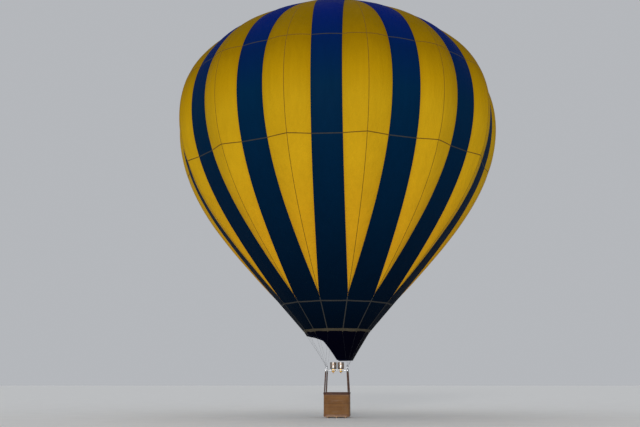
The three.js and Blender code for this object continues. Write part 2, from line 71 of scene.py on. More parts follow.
def split(start, end, count):
    """The ends of a number of equal steps."""
    return [start + (end - start) * k / count for k in range(count + 1)]


def spaced(start, end, step):
    return split(start, end, max(1, round((end - start) / step)))


def turns(count):
    """A number of even angles round a circle."""
    return [2 * pi * k / count for k in range(count)]


def arc(x, z, reach_x, reach_z, start, end, count):
    """Points round part of an ellipse in X and Z, from one angle in degrees to another."""
    angles = split(radians(start), radians(end), count)
    return [(x + reach_x * cos(turn), z + reach_z * sin(turn)) for turn in angles]


def smooth(points, steps):
    """A curve through the points, whose speed follows their spacing."""
    padded = [2 * points[0] - points[1], *points, 2 * points[-1] - points[-2]]
    line = []
    for a, b, c, d in zip(padded, padded[1:], padded[2:], padded[3:]):
        near, span, far = (b - a).length, (c - b).length, (d - c).length
        out = (c - a) * (span / (near + span))
        into = (d - b) * (span / (span + far))
        for t in split(0, 1, steps)[:-1]:
            place = b * (2 * t**3 - 3 * t**2 + 1) + out * (t**3 - 2 * t**2 + t)
            line.append(place + c * (3 * t**2 - 2 * t**3) + into * (t**3 - t**2))
    return [*line, points[-1]]


# Materials


class Shader:
    """A new material's node tree, with short ways to add and join nodes."""

    def __init__(self, name):
        self.material = bpy.data.materials.new(name)
        self.material.use_nodes = True
        self.tree = self.material.node_tree
        self.bsdf = self.tree.nodes["Principled BSDF"]

    def feed(self, node, inputs):
        """Gives inputs of a node a value each, or a link from a socket."""
        for key, value in inputs.items():
            if isinstance(value, bpy.types.NodeSocket):
                self.tree.links.new(value, node.inputs[key])
            else:
                node.inputs[key].default_value = value

    def node(self, kind, inputs, **settings):
        """The outputs of a new node."""
        made = self.tree.nodes.new(kind)
        for key, value in settings.items():
            setattr(made, key, value)
        self.feed(made, inputs)
        return made.outputs

    def finish(self, colour, roughness, metallic=0.0, specular=0.5):
        self.feed(self.bsdf, {"Base Color": colour, "Roughness": roughness})
        self.feed(self.bsdf, {"Metallic": metallic, "Specular IOR Level": specular})
        return self.material

    def calc(self, operation, a, b=0.0):
        return self.node("ShaderNodeMath", {0: a, 1: b}, operation=operation)[0]

    def times(self, a, b):
        return self.calc("MULTIPLY", a, b)

    def plus(self, a, b):
        return self.calc("ADD", a, b)

    def place(self, scale=(1, 1, 1)):
        spot = self.node("ShaderNodeTexCoord", {})["Object"]
        return self.node("ShaderNodeMapping", {"Vector": spot, "Scale": scale})[0]

    def map(self, name):
        spot = self.node("ShaderNodeUVMap", {}, uv_map=name)[0]
        return self.node("ShaderNodeSeparateXYZ", {0: spot})

    def noise(self, scale, detail=3.0, stretch=(1, 1, 1)):
        inputs = {"Vector": self.place(stretch), "Scale": scale, "Detail": detail, "Roughness": 0.6}
        return self.node("ShaderNodeTexNoise", inputs)["Fac"]

    def ramp(self, value, low, high, out_low=0.0, out_high=1.0):
        inputs = {0: value, 1: low, 2: high, 3: out_low, 4: out_high}
        return self.node("ShaderNodeMapRange", inputs)[0]

    def blend(self, factor, a, b, mode="MIX"):
        inputs = {0: factor, 6: a, 7: b}
        return self.node("ShaderNodeMix", inputs, data_type="RGBA", blend_type=mode)[2]

    def shade(self, colour, factor, tint):
        """The colour, multiplied by a tint where the factor is 1."""
        return self.blend(factor, colour, self.blend(1.0, colour, (*tint, 1), "MULTIPLY"))

    def stain(self, colour, pattern, low, high, tint, most=1.0):
        """The colour, tinted where a pattern is above low, and by a share of most where it is high."""
        return self.shade(colour, self.ramp(pattern, low, high, 0.0, most), tint)

    def bump(self, height, distance, strength=1.0):
        inputs = {"Height": height, "Distance": distance, "Strength": strength}
        normal = self.node("ShaderNodeBump", inputs)[0]
        self.feed(self.bsdf, {"Normal": normal})
        return normal


def rgb(red, green, blue):
    """A colour given as it looks on a screen, 0 to 255, in the linear values that shaders use."""
    values = [value / 255 for value in (red, green, blue)]
    return (*(v / 12.92 if v < 0.04045 else ((v + 0.055) / 1.055) ** 2.4 for v in values), 1)


def cloth(name, bands, translucent, seam_shade_tint=(0.8, 0.8, 0.8)):
    """Coated ripstop nylon. bands gives its colour at heights in the frame, from the lowest up, with
    painted light and shade that change with height.
    """
    shader = Shader(name)
    height = shader.node("ShaderNodeSeparateXYZ", {0: shader.place()})[2]
    # Painted light and shade: the colour is blended from band to band by height.
    colour = bands[0][1]
    for (low, _), (high, next_colour) in zip(bands, bands[1:]):
        colour = shader.blend(shader.ramp(height, low, high), colour, next_colour)
    blotches = shader.noise(1.0, 4.0, (0.5, 0.5, 0.25))
    colour = shader.stain(colour, blotches, 0.3, 0.7, (0.82, 0.8, 0.8), 0.35)
    streaks = shader.noise(1.0, 3.0, (5.0, 5.0, 0.12))
    colour = shader.stain(colour, streaks, 0.35, 0.75, (0.8, 0.78, 0.76), 0.35)
    across, along, _ = shader.map("cloth")
    threads = [shader.ramp(shader.calc("PINGPONG", way, 0.004), 0.0, 0.0008) for way in (across, along)]
    ripstop = shader.calc("MINIMUM", *threads)
    lines = shader.times(shader.calc("SUBTRACT", 1.0, ripstop), 0.25)
    colour = shader.shade(colour, lines, (0.6, 0.6, 0.6))
    # Painted shade: the colour is darkened near the seams, where the cloth lies in the hollows between
    # the swells. The same falloff also drives the puckers' relief.
    near_seam = shader.calc("EXPONENT", shader.times(shader.map("seam")[0], -12.0))
    colour = shader.shade(colour, shader.times(near_seam, 0.6), seam_shade_tint)
    phase = shader.plus(shader.times(along, 45.0), shader.times(shader.noise(1.3), 12.0))
    pucker = shader.times(shader.calc("SINE", phase), near_seam)
    creases = shader.noise(1.0, 5.0, (1.6, 1.6, 0.5))
    gathers = shader.noise(1.0, 4.0, (7.0, 7.0, 0.9))
    relief = shader.plus(shader.times(pucker, 0.06), creases)
    for pattern, depth in ((gathers, 0.22), (ripstop, 0.005)):
        relief = shader.plus(relief, shader.times(pattern, depth))
    normal = shader.bump(relief, 0.06, 0.8)
    shader.finish(colour, shader.ramp(creases, 0.3, 0.7, 0.5, 0.62), specular=0.01)
    through = shader.node("ShaderNodeBsdfTranslucent", {"Color": colour, "Normal": normal})[0]
    mixed = shader.node("ShaderNodeMixShader", {0: translucent, 1: shader.bsdf.outputs[0], 2: through})
    shader.feed(shader.tree.nodes["Material Output"], {"Surface": mixed[0]})
    return shader.material


def webbing(name, colour):
    """Woven tape with a twill relief and dirt."""
    shader = Shader(name)
    colour = shader.stain(colour, shader.noise(2.5, 5.0), 0.35, 0.75, (0.6, 0.57, 0.52), 0.6)
    twill = {"Vector": shader.place(), "Scale": 100.0, "Distortion": 1.0}
    weave = shader.node("ShaderNodeTexWave", twill, bands_direction="DIAGONAL")["Fac"]
    colour = shader.shade(colour, shader.times(weave, 0.3), (0.6, 0.6, 0.6))
    shader.bump(weave, 0.0008, 0.6)
    return shader.finish(colour, 0.8, specular=0.2)


def leather(name, colour, wear):
    """Hide with pores and grain, worn paler in patches."""
    shader = Shader(name)
    patches = shader.noise(9.0, 5.0)
    colour = shader.blend(shader.ramp(patches, 0.45, 0.75), colour, wear)
    colour = shader.stain(colour, shader.noise(40.0, 4.0), 0.45, 0.7, (0.65, 0.6, 0.55), 0.5)
    pores = shader.node("ShaderNodeTexVoronoi", {"Vector": shader.place(), "Scale": 420.0})["Distance"]
    shader.bump(shader.plus(pores, shader.times(shader.noise(60.0, 4.0), 1.5)), 0.0012, 0.5)
    return shader.finish(colour, shader.ramp(patches, 0.3, 0.8, 0.62, 0.42), specular=0.4)


def metal(name, colour, roughness, brushed=(8, 8, 90), heat=None):
    """Metal with fine brush marks and smudges, tinted by heat in patches where a tint is given."""
    shader = Shader(name)
    smudges = shader.noise(7.0, 4.0)
    colour = shader.stain(colour, smudges, 0.35, 0.7, (0.7, 0.68, 0.66), 0.6)
    if heat:
        colour = shader.blend(shader.ramp(shader.noise(14.0), 0.42, 0.62), colour, heat)
    shader.bump(shader.noise(9.0, 4.0, brushed), 0.0004, 0.35)
    gloss = shader.ramp(smudges, 0.3, 0.7, roughness - 0.06, roughness + 0.1)
    return shader.finish(colour, gloss, 1.0)


def wood(name, colour, dark):
    """Varnished wood with long grain and scuffs."""
    shader = Shader(name)
    grain = shader.noise(6.0, 6.0, (14, 1.5, 14))
    colour = shader.blend(shader.ramp(grain, 0.35, 0.7), colour, dark)
    colour = shader.stain(colour, shader.noise(3.0, 5.0), 0.5, 0.75, (0.7, 0.66, 0.6))
    shader.bump(grain, 0.001, 0.4)
    return shader.finish(colour, shader.ramp(grain, 0.3, 0.7, 0.42, 0.6))


def cane():
    """Rattan canes that each have their own tone, with knots and long fibres."""
    shader = Shader("cane")
    tone, along, _ = shader.map("strand")
    colour = shader.blend(tone, rgb(104, 68, 36), rgb(168, 122, 72))
    way = shader.plus(along, shader.times(tone, 7.0))
    knots = shader.ramp(shader.calc("PINGPONG", way, 0.14), 0.0, 0.006, 1.0, 0.0)
    colour = shader.shade(colour, knots, (0.5, 0.42, 0.35))
    colour = shader.stain(colour, shader.noise(1.6, 5.0), 0.4, 0.7, (0.72, 0.66, 0.6))
    fibres = shader.noise(300.0, 3.0)
    shader.bump(fibres, 0.0006, 0.5)
    return shader.finish(colour, shader.ramp(fibres, 0.3, 0.7, 0.45, 0.65), specular=0.4)


def plastic(name, colour):
    """Moulded plastic with a fine texture and scuffs."""
    shader = Shader(name)
    colour = shader.stain(colour, shader.noise(35.0, 5.0), 0.5, 0.75, (0.65, 0.65, 0.65))
    shader.bump(shader.noise(500.0, 2.0), 0.0003, 0.4)
    return shader.finish(colour, shader.ramp(shader.noise(20.0), 0.3, 0.7, 0.4, 0.55))


# Painted shade by height: the yellow cloth darkens towards the crown.
YELLOW_PAINTED_SHADE_BANDS = [
    (-5.4, rgb(232, 176, 30)),
    (-2.2, rgb(222, 176, 27)),
    (0.3, rgb(208, 166, 22)),
    (1.6, rgb(192, 150, 10)),
    (3.2, rgb(158, 121, 2)),
    (4.6, rgb(142, 111, 1)),
]
# Painted light and shade by height: the blue cloth is a brighter blue near the crown, from painted sky
# light, and darkens towards the mouth.
BLUE_PAINTED_LIGHT_AND_SHADE_BANDS = [
    (-9.2, rgb(1, 13, 28)),
    (-4.0, rgb(1, 31, 58)),
    (1.0, rgb(1, 38, 70)),
    (3.0, rgb(1, 31, 80)),
    (5.5, rgb(1, 25, 104)),
]
# The last tuple is the tint of the painted shade near the yellow cloth's seams.
YELLOW_CLOTH = cloth("yellow_cloth", YELLOW_PAINTED_SHADE_BANDS, 0.25, (0.8, 0.72, 0.6))
BLUE_CLOTH = cloth("blue_cloth", BLUE_PAINTED_LIGHT_AND_SHADE_BANDS, 0.12)
SCOOP_CLOTH = cloth("scoop_cloth", [(-10, rgb(2, 2, 14)), (-9, rgb(2, 3, 17))], 0.04)
# Painted shade: the load tapes' and the envelope's beige webbing's tones are darkened well below the
# webbing's own tone, which the grey webbing keeps.
SHADED_LOAD_TAPE = webbing("shaded_load_tape", rgb(52, 52, 51))
GREY_WEBBING = webbing("grey_webbing", rgb(112, 106, 92))
SHADED_BEIGE_WEBBING = webbing("shaded_beige_webbing", rgb(72, 66, 53))
NAVY_SEAM = webbing("navy_seam", rgb(10, 20, 52))
OCHRE_SEAM = webbing("ochre_seam", rgb(112, 82, 6))
STEEL = metal("stainless_steel", rgb(188, 190, 194), 0.28)
CABLE_STEEL = metal("cable_steel", rgb(72, 74, 78), 0.45, (200, 200, 200))
CAN_STEEL = metal("can_steel", rgb(160, 158, 156), 0.42, (8, 8, 60), rgb(146, 116, 88))
COIL_STEEL = metal("coil_steel", rgb(160, 150, 140), 0.35, (30, 30, 30), rgb(96, 74, 82))
BRASS = metal("brass", rgb(176, 140, 70), 0.3)
ALUMINIUM = metal("aluminium", rgb(200, 202, 204), 0.35, (60, 60, 6))
RED_PLASTIC = plastic("red_plastic", rgb(168, 26, 22))
DARK_HIDE = leather("dark_hide", rgb(62, 32, 20), rgb(96, 58, 36))
SUEDE = leather("suede", rgb(104, 66, 38), rgb(132, 92, 58))
THREAD = webbing("thread", rgb(190, 170, 130))
BLACK_PLASTIC = plastic("black_plastic", rgb(22, 22, 24))
WHITE_ENAMEL = plastic("white_enamel", rgb(225, 224, 216))
PLYWOOD = wood("plywood", rgb(176, 138, 92), rgb(136, 98, 58))
ASH = wood("ash_runner", rgb(150, 112, 72), rgb(104, 74, 44))
CANE = cane()

# Parts: a part is a list of points and a list of faces


def joined(parts):
    points, faces = [], []
    for some, theirs in parts:
        faces += [tuple(k + len(points) for k in face) for face in theirs]
        points += some
    return points, faces


def moved(part, matrix):
    points, faces = part
    return [matrix @ point for point in points], faces


def new_object(name, data):
    made = bpy.data.objects.new(name, data)
    bpy.context.collection.objects.link(made)
    return made


def piece(name, parts, material, slot, body=MAIN, place=Matrix(), maps=None, crease=40, node=None):
    """A mesh piece that rides on a body, and replaces a node where one is named.
    maps gives the points' places in each UV map."""
    points, faces = moved(joined(parts), place)
    mesh = bpy.data.meshes.new(name)
    mesh.from_pydata([tuple(point) for point in points], [], faces)
    mesh.materials.append(material)
    for map_name, values in (maps or {}).items():
        layer = mesh.uv_layers.new(name=map_name)
        for loop in mesh.loops:
            layer.data[loop.index].uv = values[loop.vertex_index]
    mesh.polygons.foreach_set("use_smooth", [True] * len(mesh.polygons))
    mesh.set_sharp_from_angle(angle=radians(crease))
    mesh.update()
    made = new_object(name, mesh)
    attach(made, body)
    if node:
        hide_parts(node)
    return made


def sheet_shell(outer, inner, columns):
    """A thin closed shell between two grids of points."""
    half = len(outer)
    faces = []
    for low in range(0, half - columns, columns):
        high = low + columns
        for j in range(columns - 1):
            quad = (low + j, low + j + 1, high + j + 1, high + j)
            faces += [quad, tuple(half + k for k in reversed(quad))]
        faces.append((low, high, half + high, half + low))
        low, high = low + columns - 1, high + columns - 1
        faces.append((high, low, half + low, half + high))
    end = half - columns
    for j in range(columns - 1):
        faces.append((j + 1, j, half + j, half + j + 1))
        faces.append((end + j, end + j + 1, half + end + j + 1, half + end + j))
    return outer + inner, faces


def ribbon(line, across, face, back):
    """A strip of three columns along a line, between two offsets from it."""
    grids = [[point + across * k + off for point in line for k in (-1, 0, 1)] for off in (face, back)]
    return sheet_shell(*grids, 3)


def skin(rows, closed=False, caps=True):
    """Faces between rows of points that are each a loop. closed joins the last row to the first."""
    count, size = len(rows), len(rows[0])
    faces = []
    for i in range(count if closed else count - 1):
        low, high = i * size, (i + 1) % count * size
        for k in range(size):
            n = (k + 1) % size
            faces.append((low + k, low + n, high + n, high + k))
    if caps and not closed:
        faces.append(tuple(reversed(range(size))))
        faces.append(tuple(range((count - 1) * size, count * size)))
    return [point for row in rows for point in row], faces


def tube(path, radius, sides=8, closed=False):
    """A round tube along a path. radius is one number or one for each point."""
    count = len(path)
    radii = radius if isinstance(radius, list) else [radius] * count
    rows, guide = [], None
    for i, point in enumerate(path):
        before = path[i - 1] if i or closed else path[0]
        after = path[(i + 1) % count] if i + 1 < count or closed else path[-1]
        along = (after - before).normalized()
        guide = along.orthogonal() if guide is None else guide
        guide = (guide - along * guide.dot(along)).normalized()
        across = along.cross(guide)
        spokes = [guide * cos(turn) + across * sin(turn) for turn in turns(sides)]
        rows.append([point + spoke * radii[i] for spoke in spokes])
    return skin(rows, closed)


def lathe(profile, segments=48):
    """A solid of revolution about Z. Its profile of (radius, z) runs up the outside, and is closed."""
    points, faces, rings = [], [], []
    for radius, z in profile:
        if radius < 1e-6:
            rings.append([len(points)] * segments)
            points.append(xyz(0, 0, z))
            continue
        rings.append(list(range(len(points), len(points) + segments)))
        points += [around(turn, radius, z) for turn in turns(segments)]
    for low, high in zip(rings, rings[1:] + rings[:1]):
        for k in range(segments):
            n = (k + 1) % segments
            face = tuple(dict.fromkeys((low[k], low[n], high[n], high[k])))
            if len(face) > 2:
                faces.append(face)
    return points, faces


def taken(solid):
    """The part that a bmesh holds, which is freed."""
    solid.verts.index_update()
    points = [vert.co.copy() for vert in solid.verts]
    faces = [tuple(vert.index for vert in face.verts) for face in solid.faces]
    solid.free()
    return points, faces


def block(size, centre, edge=0.002, segments=2):
    """A box with rounded edges."""
    solid = bmesh.new()
    bmesh.ops.create_cube(solid, size=1, matrix=shift(*centre) @ Matrix.Diagonal((*size, 1)))
    shape = {"offset": edge, "segments": segments, "profile": 0.5, "affect": "EDGES"}
    bmesh.ops.bevel(solid, geom=solid.edges[:], **shape)
    return taken(solid)


def welded(part):
    """The part with its coincident points made one."""
    solid = bmesh.new()
    points = [solid.verts.new(point) for point in part[0]]
    for face in part[1]:
        solid.faces.new([points[k] for k in face])
    bmesh.ops.remove_doubles(solid, verts=solid.verts[:], dist=1e-5)
    return taken(solid)


def ring(centre, radius, thick, axis=Z, steps=32, sides=8):
    turn = Z.rotation_difference(axis)
    path = [Vector(centre) + turn @ around(angle, radius, 0) for angle in turns(steps)]
    return tube(path, thick, sides, closed=True)


def turned(part, axis, at):
    """A part that was made round Z, with its axis turned and its middle moved."""
    return moved(part, shift(*at) @ Z.rotation_difference(axis).to_matrix().to_4x4())


def rod(axis, radius, length, at, sides=24, bore=0.0, edge=0.001):
    """A cylinder with bevelled ends, and with a bore where one is given."""
    half = length / 2
    lower = [(bore, -half), (radius - edge, -half), (radius, edge - half)]
    upper = [(radius, half - edge), (radius - edge, half), (bore, half)]
    return turned(lathe(lower + upper, sides), axis, at)


def bolt(at, axis, radius, height):
    """A hexagonal bolt head with its washer, standing on a surface."""
    washer = [(0, -0.001), (radius * 1.3, -0.001), (radius * 1.3, height * 0.25), (0, height * 0.25)]
    head = [(0, 0), (radius, 0), (radius, height * 0.85), (radius * 0.85, height), (0, height)]
    return joined([turned(lathe(washer, 16), axis, at), turned(lathe(head, 6), axis, at)])


def collar(low, high, inside, outside, edge=0.0, segments=56):
    """A band round Z, from one height to another."""
    profile = [(inside, low), (outside, low + edge), (outside, high - edge), (inside, high)]
    return lathe(profile, segments)


def plate(outline, hole, thick, edge):
    """A flat plate in X and Y with bevelled edges. Its two lines have the same number of points."""
    top, side = thick / 2, thick / 2 - edge
    # Columns: line, inset, z
    levels = [(outline, 0, -side), (outline, 0, side), (outline, -edge, top), (hole, edge, top)]
    levels += [(hole, 0, side), (hole, 0, -side), (hole, edge, -top), (outline, -edge, -top)]
    rows = []
    for line, inset, z in levels:
        rows.append([Vector((*(point * (1 + inset / point.length)), z)) for point in line])
    return skin(rows, True)


def facing(at, normal):
    """The placing of a part made flat in X and Y that turns its Z to a level normal, and its Y up."""
    place = Matrix((Z.cross(normal), Z, normal)).transposed().to_4x4()
    place.translation = at
    return place


def rounded(corners, radius, steps=6):
    """An open line of (x, y) through corners that are rounded, at z = 0."""
    corners = [xyz(*corner, 0) for corner in corners]
    line = [corners[0]]
    for before, corner, after in zip(corners, corners[1:], corners[2:]):
        back, ahead = (before - corner).normalized(), (after - corner).normalized()
        centre = corner + (back + ahead) * radius
        for turn in split(0, pi / 2, steps):
            line.append(centre - ahead * radius * cos(turn) - back * radius * sin(turn))
    return [*line, corners[-1]]


def square_bar(line, width):
    """A square bar with bevelled edges along a level line."""
    half, edge = width / 2, width / 10
    section = [(half, half - edge), (half - edge, half)]
    section += [(-z, x) for x, z in section]
    section += [(-x, -z) for x, z in section]
    rows = []
    for i, point in enumerate(line):
        along = (line[min(i + 1, len(line) - 1)] - line[max(i - 1, 0)]).normalized()
        side = along.cross(Z)
        rows.append([point + side * x + Z * z for x, z in section])
    return skin(rows)


# The envelope's meridian, read from the frame: a blue gore's edge, from the mouth to the crown


class Meridian:
    """The line of the cloth's outer face. Each point has a twin on the inner face, which is left out."""

    def __init__(self):
        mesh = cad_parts["blue_gore_01"].data
        right = [v.co for v in mesh.vertices if v.co.x > 0]
        edge = {(round(hypot(p.x, p.y), 4), round(p.z, 4)) for p in right}
        self.rows = []
        for point in edge:
            twin = min((other for other in edge if other != point), key=lambda other: dist(point, other))
            if (point[0] - twin[0]) * point[0] + (point[1] - twin[1]) * point[1] > 0:
                self.rows.append(Vector(point))
        self.rows.sort(key=lambda p: atan2(p.y, p.x))
        self.fine = smooth(self.rows, 24)
        self.length = [0.0]
        for a, b in zip(self.fine, self.fine[1:]):
            self.length.append(self.length[-1] + (b - a).length)
        self.end = self.length[-1]

    def at(self, distance):
        """Radius, z and outward normal at a distance along the line."""
        low, high = 0, len(self.length) - 1
        while high - low > 1:
            middle = (low + high) // 2
            low, high = (middle, high) if self.length[middle] <= distance else (low, middle)
        t = (distance - self.length[low]) / (self.length[high] - self.length[low])
        point = self.fine[low].lerp(self.fine[high], t)
        along = (self.fine[high] - self.fine[low]).normalized()
        return point.x, point.y, Vector((along.y, -along.x))

    def where(self, z):
        """The distance along the line at which it first reaches a height."""
        return next(distance for distance, point in zip(self.length, self.fine) if point.y >= z)


meridian = Meridian()
pairs = range(14)  # of a blue gore and the yellow one after it
PAIR_ANGLE = 2 * pi / len(pairs)
BLUE_HALF = (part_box("blue_gore_01")[1][0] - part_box("blue_gore_01")[0][0]) / 2
TIP = meridian.where(meridian.rows[1].y)  # the yellow gores' lower points
END = meridian.end
CLOTH = 0.003
LOBE_DEPTH = 0.15  # swell of a yellow gore, as a share of its chord
LOBE_FLATTENING = 0.7  # share of it that is lost at the crown
BLUE_SWELL = 0.012  # the same for a blue one
CROWN_SWELL = 0.05  # its further swell near the crown
RIDGE, MIDDLE_RIDGE = 0.2, 0.6  # share of a lobe that is a ridge, and its gain at the middle tape
HELD_IN = 0.04  # share of a lobe's swell that a load tape takes away
RIPPLE = 0.008

# Load tapes round the envelope: distances along the meridian
UPPER_TAPE = meridian.where(GROUND + 16.93)
MIDDLE_TAPE = meridian.where(GROUND + 12.3)
LOWER_TAPE = meridian.where(GROUND + 5.52)
CROWN_START = UPPER_TAPE - 1.5  # where the forms near the crown begin


def near(distance, place, reach):
    return exp(-(((distance - place) / reach) ** 2))


def blue_half_angle(radius, distance=END):
    """Half the angle that a blue gore takes up. Below the yellow gores' tips it is the whole share."""
    if distance < TIP:
        return PAIR_ANGLE / 2
    return min(PAIR_ANGLE / 2, asin(min(1.0, BLUE_HALF / radius)))


def crown_share(distance):
    """How near the crown a place is, from 0 to 1 at its edge."""
    share = min(1.0, max(0.0, (distance - CROWN_START) / (END - CROWN_START)))
    return share * share * (3 - 2 * share)


def cloth_point(pair, side, distance, lift=0.0):
    """A point of the envelope. side is -1 to 1 across a blue gore, and 1 to 3 across the next
    yellow one."""
    radius, z, normal = meridian.at(distance)
    blue = blue_half_angle(radius, distance)
    crown = crown_share(distance)
    if side <= 1:
        s, angle = side, blue * side
        full = BLUE_SWELL + CROWN_SWELL * 4 * crown * (1 - crown)
        swell = 2 * radius * sin(blue) * full * (1 - s * s)
        radial = radius * cos(blue) / cos(angle)
    else:
        s, half, radial = side - 2, PAIR_ANGLE / 2 - blue, radius
        angle = blue + half * (1 + s)
        ridge = RIDGE + MIDDLE_RIDGE * near(distance, MIDDLE_TAPE, 0.9)
        lobe = (1 - ridge) * (1 - s * s) + ridge * (1 - abs(s))
        held = max(near(distance, tape, 0.25) for tape in (MIDDLE_TAPE, UPPER_TAPE))
        rise = LOBE_DEPTH * (1 - LOBE_FLATTENING * crown) * 2 * radius * sin(half) * lobe
        swell = (rise - radius * (1 - cos(half)) * (1 - s * s)) * (1 - HELD_IN * held)
    angle += pair * PAIR_ANGLE
    ripple = noise.noise(xyz(sin(angle) * 12, cos(angle) * 12, distance * 0.6))
    out = swell + ripple * RIPPLE * min(1.0, 3 * (1 - abs(s))) + lift
    return around(angle, radial + out * normal.x, z + out * normal.y)


def walk(row):
    """The distance of each point of a row from its first one."""
    steps = [0.0]
    for a, b in zip(row, row[1:]):
        steps.append(steps[-1] + (b - a).length)
    return steps


def gore(name, pair, sides, distances, material, slot, node):
    """A sheet of cloth, with maps of its own metres and of the distance from its seams."""
    columns = len(sides)
    outer, inner = (
        [cloth_point(pair, side, distance, lift) for distance in distances for side in sides]
        for lift in (0.0, -CLOTH)
    )
    across, seam, widths = [], [], []
    for i, distance in enumerate(distances):
        steps = walk(outer[i * columns : (i + 1) * columns])
        widths.append(steps[-1])
        across += [(step - steps[-1] / 2, distance) for step in steps]
        seam += [(min(step, steps[-1] - step), distance) for step in steps]
    maps = {"cloth": across * 2, "seam": seam * 2}
    part = sheet_shell(outer, inner, columns)
    made = piece(name, [part], material, slot, maps=maps, node=node)
    heights = walk(outer[columns // 2 :: columns])
    rows = zip(heights, heights[1:], widths, widths[1:])
    area = sum((high - low) * (a + b) / 2 for low, high, a, b in rows)


ROW_STEP = 0.2
HEM_LAP = 0.014  # how far the cloth reaches down over the mouth's band
HELD_REACH = 0.5  # how far from a load tape the rows of cloth lie closer together


def rows_of_cloth():
    stops = [TIP]
    for tape in (MIDDLE_TAPE, UPPER_TAPE):
        stops += [tape - HELD_REACH, tape + HELD_REACH]
    stops.append(END)
    rows = []
    for index, (start, end) in enumerate(zip(stops, stops[1:])):
        rows += spaced(start, end, ROW_STEP / 2 if index % 2 else ROW_STEP)[:-1]
    return [*rows, END]


lower_rows = spaced(0.0, TIP, ROW_STEP)
upper_rows = rows_of_cloth()
blue_rows = [-HEM_LAP, *lower_rows[:-1], *upper_rows]
BLUE_SIDES = spaced(-1, 1, 0.25)
YELLOW_SIDES = spaced(1, 3, 0.125)
for pair in pairs:
    for colour, sides, rows, material in (
        ("blue", BLUE_SIDES, blue_rows, BLUE_CLOTH),
        ("yellow", YELLOW_SIDES, upper_rows, YELLOW_CLOTH),
    ):
        label = f"{pair + 1:02d}"
        node = f"{colour}_gore_{label}"
        gore(f"{colour}_cloth_{label}", pair, sides, rows, material, f"{colour}_fabric", node)

# Webbing on the envelope: strips of three columns that follow the cloth

TAPE, TAPE_BACK = 0.0016, -0.0006  # how far a tape's faces stand off the cloth


def strip(spots, lift=TAPE):
    """A tape through places that are each a pair, side and distance."""
    outer, inner = ([cloth_point(*spot, off) for spot in spots] for off in (lift, TAPE_BACK))
    return sheet_shell(outer, inner, 3)


def tape_up(pair, side, distances, width):
    """A tape along the meridian."""
    spots, step = [], 0.02
    for distance in distances:
        middle = cloth_point(pair, side, distance)
        back, ahead = (
            width / 2 / max((cloth_point(pair, other, distance) - middle).length / step, 0.02)
            for other in (side - step, min(3, side + step))
        )
        steps = (-min(0.9, back), 0, min(3 - side, 0.9, ahead))
        spots += [(pair, side + step, distance) for step in steps]
    return strip(spots)


def tape_round(distance, width, sides, pair, peak=0.0):
    """A tape across a gore. peak is how much higher up it lies in the middle of a yellow one."""
    spots = []
    for side in sides:
        along = distance + peak * (1 - abs(side - 2)) * (side > 1)
        spots += [(pair, side, along + step) for step in (width / 2, 0, -width / 2)]
    return strip(spots, TAPE * 1.5)


def tape_between(pair, distances, width):
    """A tape along the seam of two blue gores, below the yellow gore between them."""
    spots = []
    for distance in distances:
        step = width / 2 / (meridian.at(distance)[0] * PAIR_ANGLE / 2)
        spots += [(pair, 1 - step, distance), (pair, 1, distance), (pair + 1, -1 + step, distance)]
    return strip(spots)


def sew(name, parts, material):
    piece(name, parts, material, "webbing")


tape_rows = [TIP + 0.12, *upper_rows[1:-1], END - 0.02]
mouth_rows = [0.01, *lower_rows[1:-1], TIP - 0.02]
for name, place, peak in (("upper", UPPER_TAPE, -0.12), ("middle", MIDDLE_TAPE, 0.11)):
    on_yellow = [tape_round(place, 0.042, YELLOW_SIDES, pair, peak) for pair in pairs]
    sew(f"{name}_tape_on_blue", [tape_round(place, 0.045, BLUE_SIDES, pair) for pair in pairs], SHADED_LOAD_TAPE)
    sew(f"{name}_tape_on_yellow", on_yellow, OCHRE_SEAM)
sew("lower_tape", [tape_round(LOWER_TAPE, 0.07, BLUE_SIDES, pair) for pair in pairs], SHADED_LOAD_TAPE)
sew("yellow_middle_seams", [tape_up(pair, 2, tape_rows, 0.026) for pair in pairs], OCHRE_SEAM)
sew("gore_seams", [tape_up(pair, side, tape_rows, 0.024) for pair in pairs for side in (1, 3)], NAVY_SEAM)
sew("mouth_tapes", [tape_between(pair, mouth_rows, 0.05) for pair in pairs], SHADED_LOAD_TAPE)

# The crown: vent panel, its seams, tapes and ring

VENT_LAP = 0.25
VENT_LIFT = -0.008  # of its upper face, from the outside of the gores
CROWN_RADIUS, CROWN_EDGE, _ = meridian.at(END)
CROWN_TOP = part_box("crown_ring_and_tapes")[1][2] - 0.02
RING_RADIUS, RING_WIRE = 0.21, 0.016


def crown_point(pair, side, radius, lift=0.0):
    """A point of the crown's dome, whose edge follows the blue gores' straight edges."""
    blue = blue_half_angle(CROWN_RADIUS)
    share = (radius / CROWN_RADIUS) ** 2
    drawn = 1 - (1 - cos(blue) / cos(blue * side)) * share
    z = CROWN_TOP - (CROWN_TOP - CROWN_EDGE) * share
    return around(pair * PAIR_ANGLE + blue * side, radius * drawn, z + lift)


def vent():
    spots = [(pair, side) for pair in pairs for side in BLUE_SIDES[:-1]]
    top, under = [], []
    for rows, lift in ((top, VENT_LIFT), (under, VENT_LIFT - CLOTH)):
        for lap in spaced(VENT_LAP, 0, 0.08):
            rows.append([cloth_point(pair, side, END - lap, lift) for pair, side in spots])
        for radius in spaced(CROWN_RADIUS - 0.15, 0.15, 0.25):
            rows.append([crown_point(pair, side, radius, lift) for pair, side in spots])
    part = skin(under[::-1] + top)
    maps = {"cloth": [(point.x, point.y) for point in part[0]], "seam": [(1, 0)] * len(part[0])}
    look = {"maps": maps, "node": "parachute_vent"}
    made = piece("vent_cloth", [part], BLUE_CLOTH, "blue_fabric", "vent", **look)


